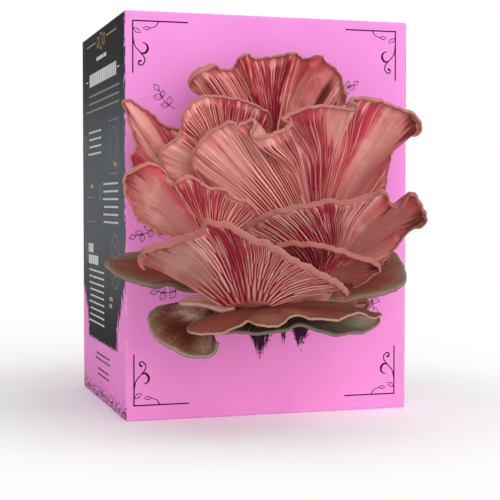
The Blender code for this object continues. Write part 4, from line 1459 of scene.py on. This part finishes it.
# Ink and board
CLOUDS = (14.0, 4.0)
CLOUDED = (0.35, 0.7, 0.0, 0.08)
CLOUD_COLOR = (0.02, 0.01, 0.015)
EDGE_WEAR = (0.0013, 0.0002)
WEAR = (420.0, 4.0)
WORN_SPOTS = (0.52, 0.62)
WORN_EDGES = (1.1, 1.7, 0.0, 0.3)
WORN_COLOR = (0.80, 0.66, 0.74)
PAPER = (1400.0, 3.0)
PAPER_BUMP = (0.00003, 0.4)
# The lower pink is partly painted light: lightened against the shadow that the cluster casts on the lower
# panel.
PINK_LOW_LIT = (0.88, 0.285, 0.66)
PINK_HIGH = (0.835, 0.28, 0.685)
SPECK_COLOR = (0.05, 0.03, 0.04)
PANEL_COLORS = ((0.012, 0.013, 0.014), (0.100, 0.109, 0.119), (0.020, 0.020, 0.021))
PANEL_LIGHTENS = (0.035, 0.10)
PANEL_DARKENS = (0.14, 0.205)
FLAT_INKS = [
    ("dark_ink", (0.030, 0.012, 0.020), 0.55),
    ("white_ink", (0.62, 0.62, 0.62), 0.55),
    ("grey_ink", (0.24, 0.25, 0.26), 0.55),
    ("gold_ink", (0.42, 0.25, 0.09), 0.35),
]
RAW_FIBRES = (1500.0, 4.0)
RAW_COLORS = ((0.42, 0.33, 0.25), (0.56, 0.47, 0.38))
RAW_BUMP = (0.0001, 0.6)

# The dark panels and the specks on the side faces
SIDE_FACE = HALF_WIDTH * MM - 0.0005
SHARP = (-0.0001, 0.0001)
PANEL_CENTRE = 0.002
PANEL_WIDENS = (0.040, 0.082, 0.046, 0.072)
BRUSHED = (700.0, 4.0, 0.7)
BRUSH_STRETCH = 0.16
PANEL_SIDES = (0.3, 0.7, -0.006, 0.006)
TORN = (330.0, 4.0, 0.7)
TORN_OFFSET = 3.0
PANEL_FOOT = (0.3, 0.7, 0.0332, 0.0368)
SPECKS = (900.0, 2.0)
SPECK_STRETCH = 0.55
SPECKS_THIN_OUT = (0.001, 0.016, 0.50, 0.72)
SPECK_EDGE = (0.0, 0.02)

# Substrate and fused base
CRUMBS = (260.0, 5.0, 0.65)
CRUMB_COLORS = ((0.30, 0.19, 0.10), (0.56, 0.43, 0.28))
CRUMB_BUMP = (0.0012, 0.8)
THREADS = (90.0, 5.0, 0.6)
THREADS_SHOW = (0.38, 0.6)
THREAD_COLOR = (0.82, 0.79, 0.72)
BASE_BLOTCHES = (60.0, 4.0)
BASE_TONES = ((0.35, 0.65), (0.42, 0.12, 0.10), (0.50, 0.22, 0.18))
BASE_BUMP = (0.0006, 0.6)
BASE_FIBRES = (9.0, 3.0)
FIBRES_SHOW = (0.4, 0.7, 0.0, 0.5)
FIBRE_COLOR = (0.26, 0.04, 0.04)
WINDOW_REACH = (0.0, 14.0)
WINDOW_COLOR = (0.62, 0.46, 0.38)


class Shader:
    """A material whose Principled shader is fed by a few chained nodes."""

    def __init__(self, name, **values):
        self.material = bpy.data.materials.new(name)
        self.material.use_nodes = True
        self.tree = self.material.node_tree
        self.principled = self.tree.nodes["Principled BSDF"]
        for key, value in values.items():
            self.feed(self.principled.inputs[key.replace("_", " ")], value)

    def feed(self, socket, value):
        if isinstance(value, bpy.types.NodeSocket):
            self.tree.links.new(value, socket)
        elif isinstance(value, tuple):
            socket.default_value = (*value, 1.0)
        else:
            socket.default_value = value

    def node(self, kind, **values):
        made = self.tree.nodes.new("ShaderNode" + kind)
        for key, value in values.items():
            self.feed(made.inputs[key], value)
        return made

    def attribute(self, name):
        made = self.node("Attribute")
        made.attribute_name = name
        return made.outputs["Fac"]

    def place(self):
        return self.node("TexCoord").outputs["Object"]

    def axes(self, vector):
        made = self.node("SeparateXYZ", Vector=vector)
        return [made.outputs[axis] for axis in "XYZ"]

    def absolute_axes(self, place):
        """How far the place is from the carton's middle, along each axis."""
        x, y, z = self.axes(place)
        z = self.minus(z, HEIGHT * MM / 2)
        return [self.math("ABSOLUTE", value) for value in (x, y, z)]

    def vector(self, x, y, z):
        return self.node("CombineXYZ", X=x, Y=y, Z=z).outputs[0]

    def math(self, operation, a, b=0.0):
        made = self.node("Math")
        made.operation = operation
        self.feed(made.inputs[0], a)
        self.feed(made.inputs[1], b)
        return made.outputs[0]

    def plus(self, a, b):
        return self.math("ADD", a, b)

    def minus(self, a, b):
        return self.math("SUBTRACT", a, b)

    def times(self, a, b):
        return self.math("MULTIPLY", a, b)

    def noise(self, vector, scale, detail, roughness=0.55):
        made = self.node("TexNoise", Vector=vector, Scale=scale, Detail=detail, Roughness=roughness)
        return made.outputs[0]

    def ranged(self, value, low, high, new_low=0.0, new_high=1.0):
        """The value's place between low and high, smoothly held to the ends beyond them."""
        made = self.node("MapRange")
        made.interpolation_type = "SMOOTHSTEP"
        for number, item in enumerate((value, low, high, new_low, new_high)):
            self.feed(made.inputs[number], item)
        return made.outputs[0]

    def mix(self, share, first, second):
        made = self.node("Mix")
        made.data_type = "RGBA"
        for number, item in ((0, share), (6, first), (7, second)):
            self.feed(made.inputs[number], item)
        return made.outputs[2]

    def graded(self, value, span, first, second):
        """From the first colour to the second as the value crosses the span."""
        return self.mix(self.ranged(value, *span), first, second)

    def bump(self, height, distance, strength):
        return self.node("Bump", Height=height, Distance=distance, Strength=strength).outputs[0]

    def finish(self, color, normal=None):
        self.feed(self.principled.inputs["Base Color"], color)
        if normal is not None:
            self.feed(self.principled.inputs["Normal"], normal)
        return self.material


def streaks(shader, across, along_gills, stretch, offset, *noise):
    """Noise in streaks that run with the gills."""
    place = shader.vector(across, shader.times(along_gills, stretch), offset)
    return shader.noise(place, *noise)


def gill_strands(shader, fields, across, along_gills):
    """Fine streaks, which are calmer where the cap is smooth."""
    strands = streaks(shader, across, along_gills, *STRANDS)
    calm = shader.ranged(fields["smooth"], *CALM_STRANDS)
    return shader.plus(shader.times(shader.minus(strands, MIDDLE), calm), MIDDLE)


def gill_color(shader, tone, fields, along_gills, blotches):
    """Pale strands on crimson, in streaks and broad bands that run with the gills."""
    across = shader.attribute("across")
    bands = streaks(shader, across, along_gills, *BANDS)
    strands = gill_strands(shader, fields, across, along_gills)
    crest = shader.graded(bands, BAND_FLUSH, tone["crest"], tone["flush"])
    crest = shader.graded(strands, STRAND_FLUSH, crest, tone["flush"])
    # Painted shade: deeper crimson towards the root, where the caps overlap.
    crest = shader.graded(along_gills, ROOT_SHADE, crest, tone["flush"])
    crest = shader.mix(shader.times(fields["smooth"], SMOOTH_SHARE), crest, tone["smooth"])
    # Painted shade: a crimson band under the lip, made uneven by the blotches.
    rim = shader.plus(along_gills, shader.times(blotches, RIM_JITTER))
    crest = shader.graded(rim, UNDER_LIP_SHADE, crest, tone["flush"])
    red = shader.times(fields["red"], shader.ranged(strands, *RED_STREAKS))
    crest = shader.mix(red, crest, tone["deep"])
    bright_left = shader.ranged(fields["smooth"], *BRIGHT_LEFT)
    bright = shader.times(shader.ranged(strands, *BRIGHT_STRANDS), bright_left)
    crest = shader.mix(bright, crest, tone["pale"])
    crest = shader.graded(blotches, PALE_BLOTCHES, crest, tone["pale"])
    pale = shader.times(fields["pale"], shader.ranged(strands, *PALE_STREAKS))
    crest = shader.mix(pale, crest, tone["pale"])
    red_grooves = shader.times(fields["red"], RED_GROOVES)
    groove = shader.mix(red_grooves, tone["groove"], tone["deep groove"])
    return shader.graded(fields["gill"], GILL_CREST, groove, crest)


def lip_color(shader, tone, along_gills):
    """The edge colour, redder in places, with painted shade redder towards the tip and a painted highlight
    along the crest.
    """
    mottle = shader.noise(shader.place(), *LIP_MOTTLE)
    color = shader.graded(mottle, LIP_RED, tone["edge"], tone["flush"])
    # Painted shade: redder towards the lip's tip.
    color = shader.graded(along_gills, LIP_TIP_SHADE, color, tone["flush"])
    # Painted highlight along the top of the lip's roll.
    start = shader.ranged(along_gills, *LIP_HIGHLIGHT_START)
    crest = shader.times(start, shader.ranged(along_gills, *LIP_HIGHLIGHT_END))
    return shader.mix(crest, color, tone["pale"])


def skin_color(shader, cap, along_gills, blotches, fields):
    """The skin, which turns to its edge colour towards the lip and over it."""
    tone = cap.palette
    velvet = shader.noise(shader.place(), *VELVET)
    skin = shader.graded(velvet, VELVET_PALE, tone["skin"], tone["pale"])
    skin = shader.graded(velvet, VELVET_FLUSH, skin, tone["flush"])
    red = shader.times(fields["red"], shader.ranged(blotches, *SKIN_RED))
    skin = shader.mix(red, skin, tone["flush"])
    uneven = shader.times(shader.minus(blotches, MIDDLE), SKIN_JITTER)
    edge = (cap.edge_from, cap.edge_from + cap.edge_fade)
    lip = lip_color(shader, tone, along_gills)
    skin = shader.graded(shader.plus(along_gills, uneven), edge, skin, lip)
    flecks = shader.times(fields["pale"], shader.ranged(velvet, *FLECKS))
    return shader.mix(flecks, skin, tone["pale"])


def flesh_material(name, cap):
    """Gills, lip and skin of a cap, steered by the fields on its points."""
    shader = Shader(name, Roughness=0.45, Specular_IOR_Level=0.16)
    tone = cap.palette
    place = shader.place()
    along_gills = shader.attribute("along")
    blotches = shader.noise(place, *BLOTCHES)
    fields = {kind: shader.attribute(kind) for kind in ("gill", "skin") + PATCH_KINDS}
    color = gill_color(shader, tone, fields, along_gills, blotches)
    lip = shader.graded(blotches, LIP_TO_SKIN, tone["lip"], tone["skin"])
    color = shader.graded(along_gills, LIP_START, color, lip)
    skin = skin_color(shader, cap, along_gills, blotches, fields)
    color = shader.graded(fields["skin"], SKIN_SIDE, color, skin)
    # Dark patches: mostly painted shade, in hollows, under lips and on the right-hand parts of the caps.
    color = shader.mix(fields["dark"], color, tone["dark"])
    grain = shader.noise(place, *GRAIN)
    return shader.finish(color, shader.bump(grain, *GRAIN_BUMP))


def nearness_to_edges(shader, place):
    """How many of the carton's faces the place is at: over 1 only along the edges."""
    total = 0.0
    for axis, half in zip(shader.absolute_axes(place), (HALF_WIDTH, HALF_DEPTH, HEIGHT / 2)):
        near = shader.ranged(axis, *(half * MM - wear for wear in EDGE_WEAR))
        total = shader.plus(near, total)
    return total


def ink_on_board(shader, color):
    """Adds uneven ink, worn edges and paper fibres to a colour, and finishes the material."""
    place = shader.place()
    color = shader.graded(shader.noise(place, *CLOUDS), CLOUDED, color, CLOUD_COLOR)
    worn = shader.ranged(shader.noise(place, *WEAR), *WORN_SPOTS)
    worn = shader.times(worn, shader.ranged(nearness_to_edges(shader, place), *WORN_EDGES))
    color = shader.mix(worn, color, WORN_COLOR)
    return shader.finish(color, shader.bump(shader.noise(place, *PAPER), *PAPER_BUMP))


def on_side_face(shader, x):
    """1 on the carton's left and right faces, 0 on the others."""
    return shader.math("GREATER_THAN", shader.math("ABSOLUTE", x), SIDE_FACE)


def panel_mask(shader, axes):
    """1 in the dark brushed panels of the two side faces, whose edges are ragged."""
    x, y, z = axes
    brushed = shader.noise(shader.vector(y, shader.times(z, BRUSH_STRETCH), 0.0), *BRUSHED)
    ragged = shader.ranged(brushed, *PANEL_SIDES)
    half = shader.plus(shader.ranged(z, *PANEL_WIDENS), ragged)
    from_centre = shader.math("ABSOLUTE", shader.minus(y, PANEL_CENTRE))
    within = shader.ranged(shader.minus(half, from_centre), *SHARP)
    torn = shader.noise(shader.vector(y, 0.0, TORN_OFFSET), *TORN)
    above = shader.ranged(shader.minus(z, shader.ranged(torn, *PANEL_FOOT)), *SHARP)
    return shader.times(shader.times(within, above), on_side_face(shader, x))


def speckle_mask(shader, axes):
    """Dark specks low on the side faces, densest at the bottom edge."""
    x, y, z = axes
    specks = shader.noise(shader.vector(shader.times(y, SPECK_STRETCH), z, x), *SPECKS)
    needed = shader.ranged(z, *SPECKS_THIN_OUT)
    shown = shader.ranged(shader.minus(specks, needed), *SPECK_EDGE)
    return shader.times(shown, on_side_face(shader, x))


def board_material():
    """Pink print that deepens downward, lightened low down as painted light; the sides' dark panels and
    specks.
    """
    shader = Shader("pink_printed_board", Roughness=0.6, Specular_IOR_Level=0.03)
    axes = shader.axes(shader.place())
    z = axes[2]
    low, middle, high = PANEL_COLORS
    dark = shader.graded(z, PANEL_LIGHTENS, low, shader.graded(z, PANEL_DARKENS, middle, high))
    # Lower down the pink is lightened, as painted light against the cluster's shadow.
    pink = shader.graded(z, (0.0, HEIGHT * MM), PINK_LOW_LIT, PINK_HIGH)
    color = shader.mix(speckle_mask(shader, axes), pink, SPECK_COLOR)
    return ink_on_board(shader, shader.mix(panel_mask(shader, axes), color, dark))


def flat_ink(name, color, roughness):
    shader = Shader(name, Roughness=roughness, Specular_IOR_Level=0.03)
    return ink_on_board(shader, color)


def raw_board_material():
    """Unprinted grey-brown board at the cut edges."""
    shader = Shader("raw_board", Roughness=0.85)
    fibres = shader.noise(shader.place(), *RAW_FIBRES)
    color = shader.mix(fibres, *RAW_COLORS)
    return shader.finish(color, shader.bump(fibres, *RAW_BUMP))


def carton_materials():
    """In the order of the ink numbers, from PLAIN to RAW."""
    return [board_material()] + [flat_ink(*ink) for ink in FLAT_INKS] + [raw_board_material()]


def substrate_material():
    """White threads grown through damp straw and sawdust."""
    shader = Shader("colonised_substrate", Roughness=0.85)
    place = shader.place()
    crumbs = shader.noise(place, *CRUMBS)
    straw = shader.mix(crumbs, *CRUMB_COLORS)
    color = shader.graded(shader.noise(place, *THREADS), THREADS_SHOW, straw, THREAD_COLOR)
    return shader.finish(color, shader.bump(crumbs, *CRUMB_BUMP))


def base_material():
    """Fused stems: pink flesh, paler towards the window, with lengthwise fibres."""
    shader = Shader("fused_stem_flesh", Roughness=0.55, Specular_IOR_Level=0.35)
    blotches = shader.noise(shader.place(), *BASE_BLOTCHES)
    fibres = shader.noise(shader.attribute("around"), *BASE_FIBRES)
    color = shader.graded(blotches, *BASE_TONES)
    color = shader.graded(fibres, FIBRES_SHOW, color, FIBRE_COLOR)
    color = shader.graded(shader.attribute("out"), WINDOW_REACH, WINDOW_COLOR, color)
    return shader.finish(color, shader.bump(blotches, *BASE_BUMP))


# Stage


def add_camera():
    camera = bpy.data.objects.new("photo_camera", bpy.data.cameras.new("photo_camera"))
    bpy.context.scene.collection.objects.link(camera)
    flat = math.cos(CAMERA_PITCH)
    forward = Vector(
        (math.sin(CAMERA_AZIMUTH) * flat, math.cos(CAMERA_AZIMUTH) * flat, math.sin(CAMERA_PITCH))
    )
    camera.location = CAMERA_PLACE
    camera.rotation_euler = forward.to_track_quat("-Z", "Y").to_euler()
    camera.data.sensor_width = SENSOR
    camera.data.lens = FOCAL_PIXELS * SENSOR / PHOTO_PIXELS
    bpy.context.scene.camera = camera


def add_light(name, strength, come_from, softness):
    light = bpy.data.lights.new(name, "SUN")
    light.energy = strength
    light.angle = softness
    lamp = bpy.data.objects.new(name, light)
    lamp.rotation_euler = Vector(come_from).to_track_quat("Z", "Y").to_euler()
    bpy.context.scene.collection.objects.link(lamp)


def add_sky():
    """An even white surround that looks white and lights softly."""
    world = bpy.data.worlds.new("studio")
    world.use_nodes = True
    tree = world.node_tree
    soft = tree.nodes["Background"]
    soft.inputs["Color"].default_value = (*WHITE_LIGHT, 1)
    soft.inputs["Strength"].default_value = SKY_STRENGTH
    white = tree.nodes.new("ShaderNodeBackground")
    white.inputs["Color"].default_value = (*WHITE_LIGHT, 1)
    path = tree.nodes.new("ShaderNodeLightPath")
    mix = tree.nodes.new("ShaderNodeMixShader")
    tree.links.new(path.outputs["Is Camera Ray"], mix.inputs[0])
    tree.links.new(soft.outputs[0], mix.inputs[1])
    tree.links.new(white.outputs[0], mix.inputs[2])
    tree.links.new(mix.outputs[0], tree.nodes["World Output"].inputs["Surface"])
    bpy.context.scene.world = world


def add_floor():
    bpy.ops.mesh.primitive_plane_add(size=2 * FLOOR_HALF)
    floor = bpy.context.object
    floor.name = "floor"
    shader = Shader("pale_floor", Roughness=0.8, Emission_Color=WHITE_LIGHT)
    x, y, _ = shader.axes(shader.place())
    distance = shader.math("SQRT", shader.plus(shader.times(x, x), shader.times(y, y)))
    # The floor's glow is painted light, weaker near the carton, which paints a soft shade around it.
    glow = shader.ranged(distance, *GLOW_REACH, *FLOOR_GLOW)
    shader.feed(shader.principled.inputs["Emission Strength"], glow)
    floor.data.materials.append(shader.finish(FLOOR_COLOR))


def set_stage():
    bpy.context.scene.view_settings.view_transform = "Standard"
    add_camera()
    add_light(*KEY)
    add_light(*FILL)
    add_sky()
    add_floor()



def build_caps():
    """Each cap has seeds of its own, and adds a number for each use."""
    for number, cap in enumerate(CAPS):
        mesh = cap_mesh(cap, SEEDS_PER_CAP * number + FIRST_CAP_SEED)
        mesh.materials.append(flesh_material(cap.name + "_flesh", cap))
        new_piece(cap.name + "_detail", mesh, cap.slot, cap.name)


def dress_block():
    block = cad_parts["substrate_block"]
    block.data.materials.clear()
    block.data.materials.append(substrate_material())


set_stage()
build_carton()
build_base()
build_caps()
dress_block()
